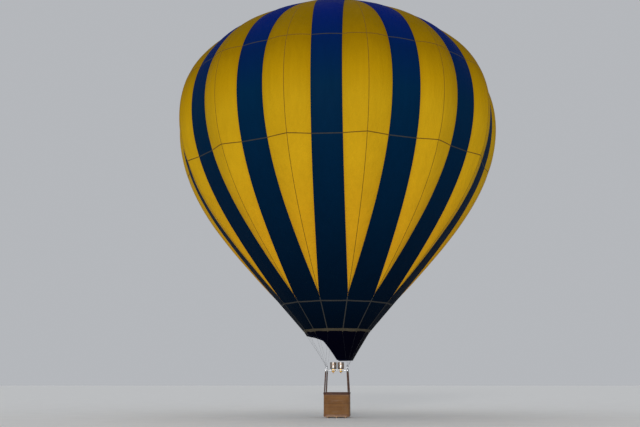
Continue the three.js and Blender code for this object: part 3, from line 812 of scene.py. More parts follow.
def crown():
    tapes, seams = [], []
    for pair in pairs:
        angle = pair * PAIR_ANGLE
        line = [cloth_point(pair, 2, END - back) for back in spaced(0.36, 0.02, 0.1)]
        line += [crown_point(pair, 1, radius) for radius in spaced(CROWN_RADIUS - 0.05, 0.2, 0.2)]
        across = around(angle + PAIR_ANGLE / 2 + pi / 2, 0.03, 0)
        tapes.append(ribbon(line, across, Z * 0.0045, Z * 0.0005))
        line = [crown_point(pair, 0, radius) for radius in spaced(CROWN_RADIUS - 0.1, 0.15, 0.3)]
        seams.append(ribbon(line, around(angle + pi / 2, 0.011, 0), Z * -0.0065, Z * -0.0085))
    sew("crown_tapes", tapes, SHADED_BEIGE_WEBBING)
    piece("vent_seams", seams, NAVY_SEAM, "webbing", "vent")
    hoop = ring((0, 0, CROWN_TOP - 0.0025), RING_RADIUS, RING_WIRE, steps=64, sides=16)
    piece("crown_ring", [hoop], ALUMINIUM, "steel", node="crown_ring_and_tapes")


vent()
crown()

# The mouth: a wavy band of webbing with a loop for each cable, and the scoop

MOUTH_RADIUS, MOUTH_Z, _ = meridian.at(0)
NEXT_RADIUS, NEXT_Z, _ = meridian.at(0.3)
MOUTH_SLOPE = (NEXT_RADIUS - MOUTH_RADIUS) / (NEXT_Z - MOUTH_Z)
HEM_LOW, HEM_TOP = (corner[2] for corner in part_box("mouth_hem"))
HEM_THICK, HEM_SAG, HEM_WAVE = 0.004, 0.035, 0.01
LOOP_DROP = 0.05  # how far the cables' loops hang below the band
mouth_turns = turns(12 * len(pairs))


def flattened(angle):
    """How much nearer the axis the side of the fourteen-sided mouth is than its corners."""
    part = (angle + PAIR_ANGLE / 2) % PAIR_ANGLE - PAIR_ANGLE / 2
    return cos(PAIR_ANGLE / 2) / cos(part)


def mouth_radius(z, angle):
    return (MOUTH_RADIUS - (MOUTH_Z - z) * MOUTH_SLOPE) * flattened(angle)


def hem_sag(angle, share):
    """How far the mouth's band lies above or below its level, more so towards its lower edge."""
    return HEM_SAG * share * noise.noise(xyz(4 * cos(angle), 4 * sin(angle), 5))


def hem():
    rows = []
    for angle in mouth_turns:
        outer, inner = [], []
        for j, z in enumerate(split(HEM_TOP, HEM_LOW, 4)):
            wave = HEM_WAVE * noise.noise(xyz(6 * sin(angle), 6 * cos(angle), j * 0.2))
            radius = mouth_radius(z, angle) + wave - HEM_THICK
            z += hem_sag(angle, j / 4)
            outer.append(around(angle, radius, z))
            inner.append(around(angle, radius - HEM_THICK, z))
        rows.append(outer + inner[::-1])
    piece("hem_webbing", [skin(rows, True)], SHADED_BEIGE_WEBBING, "webbing", node="mouth_hem")
    trim = []
    for z, share in ((HEM_TOP - 0.012, 0.1), (HEM_LOW + 0.012, 0.9)):
        line = []
        for angle in mouth_turns:
            line.append(around(angle, mouth_radius(z, angle) + 0.001, z + hem_sag(angle, share)))
        trim.append(tube(line, 0.005, 6, closed=True))
    for pair in pairs:
        angle = (pair + 0.5) * PAIR_ANGLE
        heights = spaced(HEM_LOW - LOOP_DROP, HEM_TOP, 0.03)
        line = [around(angle, mouth_radius(z, angle) + 0.008, z) for z in heights]
        trim.append(ribbon(line, around(angle + pi / 2, 0.022, 0), Z * 0, around(angle, -0.003, 0)))
    sew("hem_trim", trim, SHADED_BEIGE_WEBBING)


hem()

SCOOP_LOW, SCOOP_HIGH = (corner[2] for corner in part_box("scoop"))
# Columns: radius, h
SCOOP_PROFILE = [(0.8, 2.78), (1.11, 3.3)]
# Columns: x, h
SCOOP_ARCH = [(0.04, 2.78), (-0.19, 3.14), (-0.465, 3.515), (-0.745, 3.79), (-1.2, 3.955), (-1.62, 4.01)]
SCOOP_TOP = SCOOP_HIGH + 0.06  # its upper edge, behind the mouth's band
SCOOP_FOLD, SCOOP_INSET = 0.02, 0.004
TUCK, TUCK_HEIGHT = 0.016, 0.03  # how far its top is set back behind the band, and over what height
scoop_profile = [Vector((radius, GROUND + h)) for radius, h in SCOOP_PROFILE]
scoop_profile += [Vector((mouth_radius(z, PAIR_ANGLE / 2), z)) for z in (SCOOP_HIGH, SCOOP_TOP)]
scoop_profile = smooth(scoop_profile, 20)
scoop_arch = smooth([Vector((x, GROUND + h)) for x, h in SCOOP_ARCH], 20)


def along_line(line, z):
    """The first coordinate of a rising line at a height."""
    for a, b in zip(line, line[1:]):
        if z <= b.y:
            return a.x + (b.x - a.x) * (z - a.y) / max(b.y - a.y, 1e-9)
    return line[-1].x


def scoop_edge(angle):
    """The scoop's lowest height at an azimuth: its bottom, or the arch."""
    low, high = SCOOP_LOW, scoop_arch[-1].y
    if along_line(scoop_profile, low) * sin(angle) >= scoop_arch[0].x:
        return low
    for _ in range(24):
        middle = (low + high) / 2
        x = along_line(scoop_profile, middle) * sin(angle)
        low, high = (low, middle) if x > along_line(scoop_arch, middle) else (middle, high)
    return high


def scoop_point(angle, z, lift=0.0):
    share = (z - SCOOP_LOW) / (SCOOP_HIGH - SCOOP_LOW)
    radius = along_line(scoop_profile, z) * (1 - (1 - flattened(angle)) * share**2)
    fold = noise.noise(xyz(5 * sin(angle), 5 * cos(angle), z * 0.8))
    tucked = min(1.0, max(0.0, (z - SCOOP_HIGH + TUCK_HEIGHT) / TUCK_HEIGHT))
    out = SCOOP_FOLD * fold * (1 - share) - SCOOP_INSET - TUCK * tucked
    return around(angle, radius + out + lift, z)


def scoop():
    rows, edge, cloth_map, seam_map = [], [], [], []
    for angle in mouth_turns:
        low = scoop_edge(angle)
        edge.append(scoop_point(angle, low + 0.004, 0.0005))
        heights = split(SCOOP_TOP, low, 24)
        spots = [(z, 0) for z in heights] + [(z, -CLOTH) for z in reversed(heights)]
        rows.append([scoop_point(angle, z, lift) for z, lift in spots])
        cloth_map += [(angle, z) for z, _ in spots]
        seam_map += [(min(SCOOP_TOP - z, z - low), 0) for z, _ in spots]
    look = {"maps": {"cloth": cloth_map, "seam": seam_map}, "node": "scoop"}
    made = piece("scoop_cloth", [skin(rows, True)], SCOOP_CLOTH, "heatproof_fabric", **look)
    sew("scoop_edging", [tube(edge, 0.007, 6, closed=True)], NAVY_SEAM)


scoop()

# The burner and its frame, in places from the middle of the gimbal, and the envelope's cables

HUB = shift(0, 0, GROUND + 2.3)
FRAME_X, FRAME_Y, FRAME_TUBE = 0.53, 0.63, 0.019
SOCKET_RADIUS, SOCKET_HALF = 0.034, 0.05
LUG_HALF, LUG_HOLE, LUG_DROP, LUG_THICK = 0.028, 0.015, 0.034, 0.01
LUG_Z = 0.084  # middle of a lug's hole
CARABINER_X, CARABINER_Z = 0.024, 0.046  # half its width and height, at the middle of its bar
CARABINER_MIDDLE, CARABINER_BAR = 0.1368, 0.0056
PIN, BORE = 0.012, 0.0126
BOSS_RADIUS, BOSS_HALF = 0.027, 0.03
BOSS_CUT = 0.018  # where a bar ends inside a boss
RING_X, RING_Y, RING_BAR, RING_CORNER = 0.45, 0.33, 0.03, 0.024
BURNER_X = 0.19
VALVE_SIZE, VALVE_TOP = (0.13, 0.096, 0.152), 0.056
CAN_RADIUS, CAN_LOW, CAN_TOP, CAN_SHOULDER = 0.165, 0.0563, 0.3963, 0.04
CAN_HOLE, CAN_WALL = 0.034, 0.0016  # the radius of the hole in a can's floor, and its steel
AIR_HOLE, AIR_ROW = 0.0075, 0.028  # an air hole's radius, and the height of a row of them
CAN_COLUMNS, CELL = 96, 4
COIL_RADIUS, COIL_TUBE, COIL_TURNS, COIL_PITCH, COIL_LOW = 0.113, 0.01, 4, 0.062, 0.0693
JET_RING = 0.056
LEVER_Z = -0.06
CABLE_RADIUS, CABLE_SPACING, EYE_WIRE = 0.0025, 0.0078, 0.0028


def boss(axis, at):
    """A bearing for a pin, with its grub screw."""
    bearing = rod(axis, BOSS_RADIUS, 2 * BOSS_HALF, at, 32, BORE, 0.002)
    return [bearing, bolt(at + Z * (BOSS_RADIUS - 0.001), Z, 0.006, 0.006)]


def end_nut(axis, reach):
    """The washer and nut on a pin, outside a bearing at some distance."""
    washer, nut = (axis * (reach + BOSS_HALF + gap) for gap in (0.0018, 0.008))
    return [rod(axis, 0.017, 0.002, washer), rod(axis, 0.016, 0.011, nut, 6)]


def lug(at, out):
    """A lug that stands on a corner, with a hole for its carabiner."""
    outline, hole = [], []
    for turn in turns(40):
        way = Vector((cos(turn), sin(turn)))
        foot = min(LUG_HALF / max(abs(way.x), 1e-6), LUG_DROP / max(-way.y, 1e-6))
        outline.append(way * (LUG_HALF if sin(turn) >= 0 else foot))
        hole.append(way * LUG_HOLE)
    return moved(plate(outline, hole, LUG_THICK, 0.001), facing(at, out))


def saddle_weld(sx, sy, along_x):
    """The bead where a tube meets a corner socket."""
    path = []
    for turn in turns(36):
        side, up = FRAME_TUBE * cos(turn), FRAME_TUBE * sin(turn)
        back = sqrt(SOCKET_RADIUS**2 - side**2)
        x, y = (-sx * back, side) if along_x else (side, -sy * back)
        path.append(xyz(sx * FRAME_X + x, sy * FRAME_Y + y, up))
    return tube(path, [0.0026 + 0.0004 * (k % 2) for k in range(len(path))], 6, closed=True)


def burner_frame():
    parts = []
    half = FRAME_Y - BOSS_CUT
    for s in (-1, 1):
        parts.append(rod(X, FRAME_TUBE, 2 * FRAME_X, (0, s * FRAME_Y, 0)))
        for t in (-1, 1):
            parts.append(rod(Y, FRAME_TUBE, half, (s * FRAME_X, t * (BOSS_CUT + half / 2), 0)))
        parts += boss(X, X * s * FRAME_X)
    for sx, sy in CORNERS.values():
        corner = xyz(sx * FRAME_X, sy * FRAME_Y, 0)
        out = corner.normalized()
        parts.append(rod(Z, SOCKET_RADIUS, 2 * SOCKET_HALF, corner, 32, edge=0.003))
        parts.append(lug(corner + Z * LUG_Z, out))
        parts += [saddle_weld(sx, sy, along_x) for along_x in (True, False)]
        parts.append(bolt(corner + out * (SOCKET_RADIUS - 0.001), out, 0.007, 0.007))
    piece("burner_frame_tubes", parts, STEEL, "steel", place=HUB, node="burner_frame")


def gimbal():
    half_ring = [(BOSS_CUT, -RING_Y), (RING_X, -RING_Y), (RING_X, RING_Y), (BOSS_CUT, RING_Y)]
    parts = []
    for s in (-1, 1):
        line = [(s * x, s * y) for x, y in half_ring]
        parts.append(square_bar(rounded(line, RING_CORNER), RING_BAR))
        reach = FRAME_X + BOSS_HALF - RING_X
        parts.append(rod(X, PIN, reach, X * s * (RING_X + reach / 2), 32))
        parts.append(rod(X, 0.021, 0.01, X * s * (RING_X + RING_BAR / 2 + 0.004), 32))
        parts += end_nut(X * s, FRAME_X) + boss(Y, Y * s * RING_Y)
    piece("gimbal_bars", parts, STEEL, "steel", "gimbal", HUB, node="gimbal_ring")


def manifold():
    shoulder = RING_Y - BOSS_HALF - 0.008
    middle = VALVE_TOP - VALVE_SIZE[2] / 2
    parts = [
        rod(Y, 0.02, 2 * shoulder, (0, 0, 0), 32),
        rod(Y, PIN, 2 * (RING_Y + BOSS_HALF), (0, 0, 0), 32),
        block((2 * BURNER_X, 0.04, 0.04), (0, 0, 0), 0.006, 3),
        block((0.07, 0.07, 0.056), (0, 0, 0), 0.006, 3),
        rod(Z, 0.019, 0.018, (0, 0, 0.035), 6, edge=0.003),
    ]
    for s in (-1, 1):
        x = s * BURNER_X
        parts.append(rod(Y, 0.0255, 0.022, (0, s * (shoulder - 0.02), 0), 6, edge=0.002))
        parts += end_nut(Y * s, RING_Y)
        parts.append(block(VALVE_SIZE, (x, 0, middle), 0.008, 3))
        # Columns: axis, radius, length, at, sides, bore, edge
        for fitting in (
            (X, 0.024, 0.016, (x + s * 0.071, 0, -0.05), 6, 0, 0.002),
            (X, 0.015, 0.03, (x + s * 0.074, 0, 0.01), 24, 0, 0.003),
            (Z, 0.022, 0.016, (x, 0.022, -0.098), 32, 0, 0.002),
            (Z, 0.0215, 0.022, (x, 0.022, -0.115), 6, 0, 0.002),
            (Z, 0.017, 0.03, (x, 0.022, -0.135), 32, 0, 0.002),
            (Z, 0.0225, 0.014, (x, 0.022, -0.148), 32, 0.013, 0.002),
            (Z, 0.03, 0.034, (x, 0, VALVE_TOP + 0.01), 32, 0, 0.003),
            (Y, 0.009, 0.02, (x, -0.054, -0.004), 16),
        ):
            parts.append(rod(*fitting))
        for dx in (-0.05, 0.05):
            for z in (-0.083, 0.043):
                parts.append(bolt((x + dx, -VALVE_SIZE[1] / 2, z), -Y, 0.005, 0.005))
    look = {"crease": 35, "node": "burner_manifold"}
    piece("burner_manifold_brass", parts, BRASS, "brass", "burner", HUB, **look)


def can():
    """A can's shell, with two rows of round air holes above its rounded foot."""
    shoulder = CAN_LOW + CAN_SHOULDER
    foot = [(CAN_HOLE, CAN_LOW)]
    foot += arc(CAN_RADIUS - CAN_SHOULDER, shoulder, CAN_SHOULDER, CAN_SHOULDER, -90, 0, 8)
    bands = [shoulder + AIR_ROW * k for k in range(3)]
    upper = spaced(bands[-1], CAN_TOP - 0.005, 0.03)
    rows = foot + [(CAN_RADIUS, z) for z in upper]
    rim = arc(CAN_RADIUS - 0.0008, CAN_TOP - 0.0026, 0.0022, 0.0024, -90, 180, 8)
    inner = []
    for k, (radius, z) in enumerate(rows):
        inner.insert(0, (radius - CAN_WALL, z + CAN_WALL * (k < len(foot) - 1)))
    inner[-1] = (CAN_HOLE, CAN_LOW + CAN_WALL)
    points, faces = lathe(rows + rim + inner, CAN_COLUMNS)
    # The holed cells take the place of these two bands of faces, one outside and one inside.
    gap = {len(foot) - 1, len(rows) + len(rim) + len(upper) - 1}
    faces = [face for index, face in enumerate(faces) if index // CAN_COLUMNS not in gap]
    cells = [holed_cell(k, low) for low in bands[:2] for k in range(CAN_COLUMNS // CELL)]
    return welded(joined([(points, faces), *cells]))


def holed_cell(index, low):
    """A patch of a can's wall, a few columns wide, with a round hole through it."""
    border = [(k, 0) for k in range(CELL)] + [(CELL, k) for k in range(CELL)]
    border += [(CELL - column, CELL - row) for column, row in border]
    turn = 2 * pi / CAN_COLUMNS
    wall, hole = [], []
    for column, row in border:
        wall.append(((index * CELL + column) * turn, low + row / CELL * AIR_ROW))
        off = atan2(row / CELL - 0.5, column / CELL - 0.5)
        angle = (index * CELL + CELL / 2) * turn + AIR_HOLE / CAN_RADIUS * cos(off)
        hole.append((angle, low + AIR_ROW / 2 + AIR_HOLE * sin(off)))
    inside = CAN_RADIUS - CAN_WALL
    lines = ((inside, wall), (inside, hole), (CAN_RADIUS, hole), (CAN_RADIUS, wall))
    rows = [[around(angle, radius, z) for angle, z in line] for radius, line in lines]
    return skin(rows, caps=False)


def coil():
    """A fuel coil that is wound up from its can's floor, and whose end comes back down inside it."""
    path = []
    for turn in split(0, COIL_TURNS, COIL_TURNS * 32):
        path.append(around(2 * pi * turn, COIL_RADIUS, COIL_LOW + COIL_PITCH * max(0, turn - 0.5)))
    lead = [xyz(0, -0.026, COIL_LOW - 0.002), xyz(0, -0.06, COIL_LOW), xyz(0, -0.09, COIL_LOW), path[0]]
    inward = ((0, 0, 0), (-0.03, 0.03, 0), (-0.012, 0.035, -0.035), (0, 0.035, -0.09))
    back = [path[-1] + Vector(step) for step in inward]
    back += [xyz(0.01, -0.07, 0.1), xyz(0.012, -0.02, 0.078)]
    return tube(smooth(lead, 5)[:-1] + path + smooth(back, 6)[1:], COIL_TUBE * 0.96, 14)


def jets():
    """A ring of jets on three feed tubes, with a pilot light in the middle."""
    parts = [ring((0, 0, 0.118), JET_RING, 0.0065, steps=40, sides=10)]
    parts += [rod(Z, 0.0042, 0.012, around(turn, JET_RING, 0.129), 10, 0.0018) for turn in turns(14)]
    feed = ((0.02, 0.078), (0.045, 0.095), (JET_RING, 0.116))
    for turn in (0.8, 2.9, 5.0):
        parts.append(tube([around(turn, *spot) for spot in feed], 0.006, 10))
    parts.append(tube([xyz(0.006, 0.008, z) for z in (0.08, 0.165)], 0.0045, 10))
    cup = [(0.004, 0), (0.012, 0.012), (0.012, 0.03), (0.0108, 0.03), (0.0108, 0.012), (0.004, 0.002)]
    return [*parts, moved(lathe(cup, 20), shift(0.006, 0.008, 0.16))]


def gauge():
    """A plain pressure gauge on the front of a valve block: its case, face, and marks with a needle."""
    front, z = -0.0785, -0.004
    case = [
        rod(Y, 0.0265, 0.026, (0, -0.064, z), 40, edge=0.003),
        rod(Y, 0.0275, 0.006, (0, front + 0.003, z), 40, 0.0235, 0.0015),
    ]
    face = [rod(Y, 0.0236, 0.002, (0, front + 0.0022, z), 40, edge=0.0002)]
    marks = [rod(Y, 0.0025, 0.0022, (0, front + 0.0008, z), 16, edge=0.0003)]
    # Columns: degrees, width, length, middle, distance behind the front
    bars = []
    for k in range(11):
        reach = 0.0035 if k % 5 else 0.005
        bars.append((-135 + 27 * k, 0.0011, reach, 0.0215 - reach / 2, 0.001))
    bars.append((-135, 0.0013, 0.022, 0.006, 0.0006))
    for degrees, width, length, middle, behind in bars:
        bar = block((width, 0.0006, length), (0, 0, middle), 0.0001, 1)
        turn = Matrix.Rotation(radians(degrees), 4, "Y")
        marks.append(moved(bar, shift(0, front + behind, z) @ turn))
    return case, face, marks


def handle():
    """The lever of a blast valve, and its ridged grip."""
    root = -VALVE_SIZE[1] / 2
    bend, tip = xyz(0, root - 0.05, LEVER_Z), xyz(0, root - 0.175, -0.13)
    way = (tip - bend).normalized()
    stem = [xyz(0, root, LEVER_Z), bend + Y * 0.012, bend + way * 0.02, bend + way * 0.04]
    lever = [tube(smooth(stem, 6), 0.0065, 12), rod(Y, 0.012, 0.01, (0, root - 0.004, LEVER_Z), 6)]
    line, radii, steps = [], [], 40
    for k in range(steps + 1):
        line.append(bend + way * (0.026 + 0.113 * k / steps))
        end = min(1.0, min(k, steps - k) / 3 + 0.12)
        radii.append((0.0103 + 0.0007 * cos(2 * pi * k / 8)) * sqrt(1 - (1 - end) ** 2))
    return lever, [tube(line, radii, 16)]


def burner():
    manifold()
    lever, grip = handle()
    # Columns: name, parts, material, slot, node
    fittings = (
        ("burner_can_shell", [can()], CAN_STEEL, "steel", "burner_can"),
        ("burner_coil_tube", [coil()], COIL_STEEL, "steel", "burner_coil"),
        ("blast_valve_grip", grip, RED_PLASTIC, "red_plastic", "blast_valve_handle"),
        ("blast_valve_lever", lever, STEEL, "steel", None),
        ("burner_jets", jets(), BRASS, "brass", None),
    )
    for side, s in SIDES:
        place = HUB @ shift(s * BURNER_X, 0, 0)
        for name, parts, material, slot, node in fittings:
            node = node and f"{node}_{side}"
            piece(f"{name}_{side}", parts, material, slot, "burner", place, node=node)
    case, face, marks = gauge()
    # Columns: name, parts, material, slot
    for name, parts, material, slot in (
        ("gauge_cases", case, STEEL, "steel"),
        ("gauge_faces", face, WHITE_ENAMEL, "red_plastic"),
        ("gauge_marks", marks, BLACK_PLASTIC, "red_plastic"),
    ):
        both = [moved(part, shift(s * BURNER_X, 0, 0)) for s in (-1, 1) for part in parts]
        piece(name, both, material, slot, "burner", HUB)


def cable_corner(angle):
    """The frame's corner that the cable from a load tape goes to."""
    quarter = int((angle - 1e-6) // (pi / 2))
    return ("front_right", "back_right", "back_left", "front_left")[quarter]


def carabiner(corner, out):
    path = []
    for turn in turns(48):
        side, up = sin(turn), -cos(turn)
        side = copysign(abs(side) ** 0.75, side) * CARABINER_X
        up = copysign(abs(up) ** 0.85, up) * CARABINER_Z
        path.append(corner + out * side + Z * up)
    gate = rod(Z, 0.0083, 0.03, corner + out * CARABINER_X, 12, edge=0.0012)
    return [tube(path, CARABINER_BAR, 12, closed=True), gate]


def cable(angle, low, out):
    """A cable from a place on a carabiner to the mouth, with an eye and a crimped sleeve at each end."""
    z = HEM_LOW - LOOP_DROP - 0.002
    high = around(angle, mouth_radius(z, angle) + 0.0065, z)
    way = (high - low).normalized()
    eye = low + way * 0.0032
    start, end = eye + way * 0.0125, high - way * 0.0145
    lower, upper = (out - way * out.dot(way)).normalized(), around(angle + pi / 2, 1, 0)
    parts = [ring(eye, 0.012, EYE_WIRE, lower, 24), ring(high, 0.014, EYE_WIRE, upper, 24)]
    parts.append(tube([start, end], CABLE_RADIUS, 10))
    return parts + [rod(way, 0.005, 0.032, spot, 12) for spot in (start + way * 0.018, end - way * 0.018)]


def envelope_cables():
    angles = [(pair + 0.5) * PAIR_ANGLE for pair in pairs]
    for name, (sx, sy) in CORNERS.items():
        out = xyz(sx * FRAME_X, sy * FRAME_Y, 0)
        corner = HUB.translation + out + Z * CARABINER_MIDDLE
        out.normalize()
        piece(f"carabiner_{name}", carabiner(corner, out), STEEL, "steel")
        mine = [angle for angle in angles if cable_corner(angle) == name]
        cables = []
        for index, angle in enumerate(mine):
            beside = out * CABLE_SPACING * (index - (len(mine) - 1) / 2)
            cables += cable(angle, corner + Z * CARABINER_Z + beside, out)
        piece(f"cables_{name}", cables, CABLE_STEEL, "steel", node=f"envelope_cables_{name}")


burner_frame()
gimbal()
burner()
envelope_cables()

# The basket. Heights in this section are above the ground, and a tank's are above its foot.

BASKET_X, BASKET_Y, BASKET_CORNER = 0.62, 0.735, 0.12  # the middle line of its walls
WALL_HALF = 0.015
FLOOR_LOW, FLOOR_TOP, WALL_TOP = 0.06, 0.08, 1.15
RIM_RADIUS = 0.036
RIM_Z = WALL_TOP + RIM_RADIUS
RUNNER_WIDTH, RUNNER_SPACING = 0.07, 0.44
STAKES = 116  # an even number, so that the weave closes on itself
STAKE_RADIUS, WEAVER, ROW_PITCH = 0.0043, 0.0048, 0.0094
STEP_WIDTH, STEP_LOW, STEP_HIGH, STEP_CORNER = 0.17, 0.43, 0.56, 0.05
WELT = 0.007  # how far the middle of a step hole's welt lies outside the hole
WELT_DEEP, WELT_WIDE = 0.0195, 0.0085
TANK_X, TANK_Y, TANK_RADIUS, TANK_TOP = 0.435, 0.55, 0.155, 0.76
TANK_BEND = 0.035  # the radius of a tank's foot
COLLAR_IN, COLLAR_OUT = 0.0905, 0.095
STRAP_HEIGHTS = (0.2, 0.5)
WHEEL_Z = TANK_TOP + 0.042
UPRIGHT_X, UPRIGHT_Y = 0.585, 0.7  # where the uprights stand on the rim
SLEEVE_RADIUS = 0.0335


class Loop:
    """A rounded rectangle seen from above, by the distance along it from the left end of its front."""

    def __init__(self, half_x, half_y, corner):
        self.corner = corner
        self.inner = (half_x - corner, half_y - corner)
        self.arc = corner * pi / 2
        self.sides = (2 * self.inner[0], 2 * self.inner[1]) * 2
        self.length = sum(self.sides) + 4 * self.arc

    def at(self, distance, out=0.0, z=0.0):
        """A point at a distance along the line, moved out by some of its width."""
        distance %= self.length
        ways = (X, Y, -X, -Y)
        for quarter, side in enumerate(self.sides):
            way, normal = ways[quarter], ways[quarter - 1]
            middle = normal * self.inner[0 if quarter % 2 else 1] + Z * z
            reach = self.inner[1 if quarter % 2 else 0]
            if distance <= side:
                return middle + way * (distance - reach) + normal * (self.corner + out)
            distance -= side
            if distance <= self.arc:
                turn = distance / self.corner
                return middle + way * reach + (normal * cos(turn) + way * sin(turn)) * (self.corner + out)
            distance -= self.arc
        return self.at(0, out, z)


basket_line = Loop(BASKET_X, BASKET_Y, BASKET_CORNER)
STAKE_STEP = basket_line.length / STAKES


def belt(section, wobble=0.0):
    """A section of (out, height) points swept round the basket."""
    rows = []
    for distance in spaced(0, basket_line.length, 0.02)[:-1]:
        puff = 1 + wobble * noise.noise(xyz(distance * 9, 0, 0))
        rows.append([basket_line.at(distance, out * puff, GROUND + z) for out, z in section])
    return skin(rows, True)


def strands(path, cut):
    """The runs of a path that are left where a hole is cut in it."""
    runs, margin = [[]], 0.006
    for distance, point in path:
        wide = abs(point.y) < STEP_WIDTH / 2 + margin
        if cut and wide and STEP_LOW - margin < point.z - GROUND < STEP_HIGH + margin:
            runs.append([])
        else:
            runs[-1].append((distance, point))
    return [run for run in runs if len(run) > 1]


def woven_wall(name, start, end, cut):
    parts, strand_map = [], []

    def add_cane(run, radius, sides, tone):
        parts.append(tube([point for _, point in run], radius, sides))
        strand_map.extend((tone, s) for s, _ in run for _ in range(sides))

    for row in range(int((WALL_TOP - FLOOR_TOP) / ROW_PITCH)):
        z = GROUND + FLOOR_TOP + ROW_PITCH * (row + 0.5)
        path = []
        for s in spaced(start, end, STAKE_STEP / 3):
            sway = (WALL_HALF - WEAVER - 0.0006) * cos(pi * (s / STAKE_STEP + row))
            path.append((s, basket_line.at(s, sway, z)))
        for run in strands(path, cut):
            tone = random.random()
            add_cane(run, WEAVER * random.uniform(0.92, 1.02), 5, tone)
    for stake in range(ceil(start / STAKE_STEP), ceil(end / STAKE_STEP)):
        stops = spaced(FLOOR_TOP, WALL_TOP, 0.01 if cut else 0.12)
        path = [(z, basket_line.at(stake * STAKE_STEP, 0, GROUND + z)) for z in stops]
        for run in strands(path, cut):
            add_cane([run[0], run[-1]], STAKE_RADIUS, 6, random.random())
    look = {"maps": {"strand": strand_map}, "crease": 80, "node": f"basket_wall_{name}"}
    piece(f"wicker_{name}", parts, CANE, "wicker", **look)


def walls():
    start = -basket_line.arc / 2
    for name, side in zip(("front", "right", "back", "left"), basket_line.sides):
        end = start + side + basket_line.arc
        woven_wall(name, start, end, name in ("right", "left"))
        start = end


def step_trim(s):
    """A leather welt round a step hole."""
    centre = GROUND + (STEP_LOW + STEP_HIGH) / 2
    half_y, half_z = STEP_WIDTH / 2, (STEP_HIGH - STEP_LOW) / 2
    line = Loop(half_y + WELT, half_z + WELT, STEP_CORNER + WELT)
    section = [(WELT_DEEP * cos(turn), WELT_WIDE * sin(turn)) for turn in turns(14)]
    rows = []
    for distance in spaced(0, line.length, 0.008)[:-1]:
        flats = [(deep, line.at(distance, wide)) for deep, wide in section]
        rows.append([xyz(s * (BASKET_X + deep), s * flat.x, centre + flat.y) for deep, flat in flats])
    return skin(rows, True)


def stitches(out, z):
    parts, length = [], 0.009
    lift = copysign(0.0009, out)
    for start in spaced(0, basket_line.length, 0.014)[:-1]:
        spots = ((start, out), (start + length / 2, out + lift), (start + length, out))
        parts.append(tube([basket_line.at(*spot, GROUND + z) for spot in spots], 0.0009, 4))
    return parts


def rim():
    section = arc(0, RIM_Z, RIM_RADIUS, RIM_RADIUS, -58, 238, 18)
    flap, seam = WALL_TOP - 0.048, RIM_Z - 0.033
    section += [(-0.0185, flap), (-0.0162, flap), (-0.0162, seam)]
    section += [(0.0162, seam), (0.0162, flap), (0.0185, flap)]
    look = {"crease": 50, "node": "basket_rim"}
    made = piece("rim_leather", [belt(section, 0.05)], DARK_HIDE, "leather", **look)
    base = [(0.0178, 0.075), (0.0178, 0.16), (0.0155, 0.16), (0.0155, 0.075)]
    piece("base_leather", [belt(base)], SUEDE, "leather")
    parts = []
    for out, z in ((0.0192, WALL_TOP - 0.04), (-0.0192, WALL_TOP - 0.04), (0.0183, 0.15), (0.0183, 0.09)):
        parts += stitches(out, z)
    piece("basket_stitches", parts, THREAD, "leather", crease=80)


def buckle(size, edge, at, normal):
    return moved(block(size, (0, 0, 0), edge), facing(at, normal))


def upright(name, sx, sy):
    foot = xyz(sx * UPRIGHT_X, sy * UPRIGHT_Y, GROUND + RIM_Z + RIM_RADIUS)
    head = xyz(sx * FRAME_X, sy * FRAME_Y, HUB.translation.z - SOCKET_HALF)
    way, length = (head - foot).normalized(), (head - foot).length
    inward = xyz(-sx, -sy, 0).normalized()
    radii, path = [], []
    for s in spaced(-0.02, length - 0.001, 0.018):
        end = min(s + 0.02, length - s) / 0.06
        swell = SLEEVE_RADIUS + 0.0016 * noise.noise(xyz(s * 14, sx * 3, sy * 5))
        radii.append(swell - 0.006 * exp(-end * end))
        path.append(foot + way * s)
    look = {"crease": 60, "node": f"upright_{name}"}
    made = piece(f"upright_sleeve_{name}", [tube(path, radii, 28)], DARK_HIDE, "leather", **look)
    straps, seam = [], []
    for s in (0.05, length * 0.5, length - 0.05):
        middle = foot + way * s
        straps.append(turned(collar(-0.014, 0.014, 0.0318, 0.0352, 0.002, 32), way, middle))
        outside = middle + inward * (SLEEVE_RADIUS + 0.003)
        straps.append(buckle((0.026, 0.03, 0.006), 0.0015, outside, inward))
    piece(f"upright_straps_{name}", straps, GREY_WEBBING, "webbing")
    for s in spaced(0.03, length - 0.03, 0.016):
        a, b = (foot + way * t + inward * (SLEEVE_RADIUS + 0.0003) for t in (s, s + 0.009))
        seam.append(tube([a, (a + b) / 2 + inward * 0.001, b], 0.0009, 4))
    piece(f"upright_seam_{name}", seam, THREAD, "leather", crease=80)


def floor_board():
    line = Loop(BASKET_X + WALL_HALF, BASKET_Y + WALL_HALF, BASKET_CORNER + WALL_HALF)
    rows, edge = [], 0.003
    section = [(-0.004, FLOOR_LOW), (0, FLOOR_LOW + edge), (0, FLOOR_TOP - edge), (-edge, FLOOR_TOP)]
    for out, z in section:
        rows.append([line.at(s, out, GROUND + z) for s in spaced(0, line.length, 0.02)[:-1]])
    piece("floor_board", [skin(rows)], PLYWOOD, "plywood", crease=30, node="basket_floor")
    runners, bolts = [], []
    for k in (-1, 0, 1):
        x = k * RUNNER_SPACING
        size = (RUNNER_WIDTH, 2 * (BASKET_Y + WALL_HALF), FLOOR_LOW)
        runners.append(block(size, (x, 0, GROUND + FLOOR_LOW / 2), 0.006, 3))
        bolts += [bolt((x, y, GROUND + FLOOR_TOP), Z, 0.008, 0.005) for y in spaced(-0.62, 0.62, 0.31)]
    piece("floor_runners", runners, ASH, "plywood")
    piece("floor_bolts", bolts, STEEL, "steel")


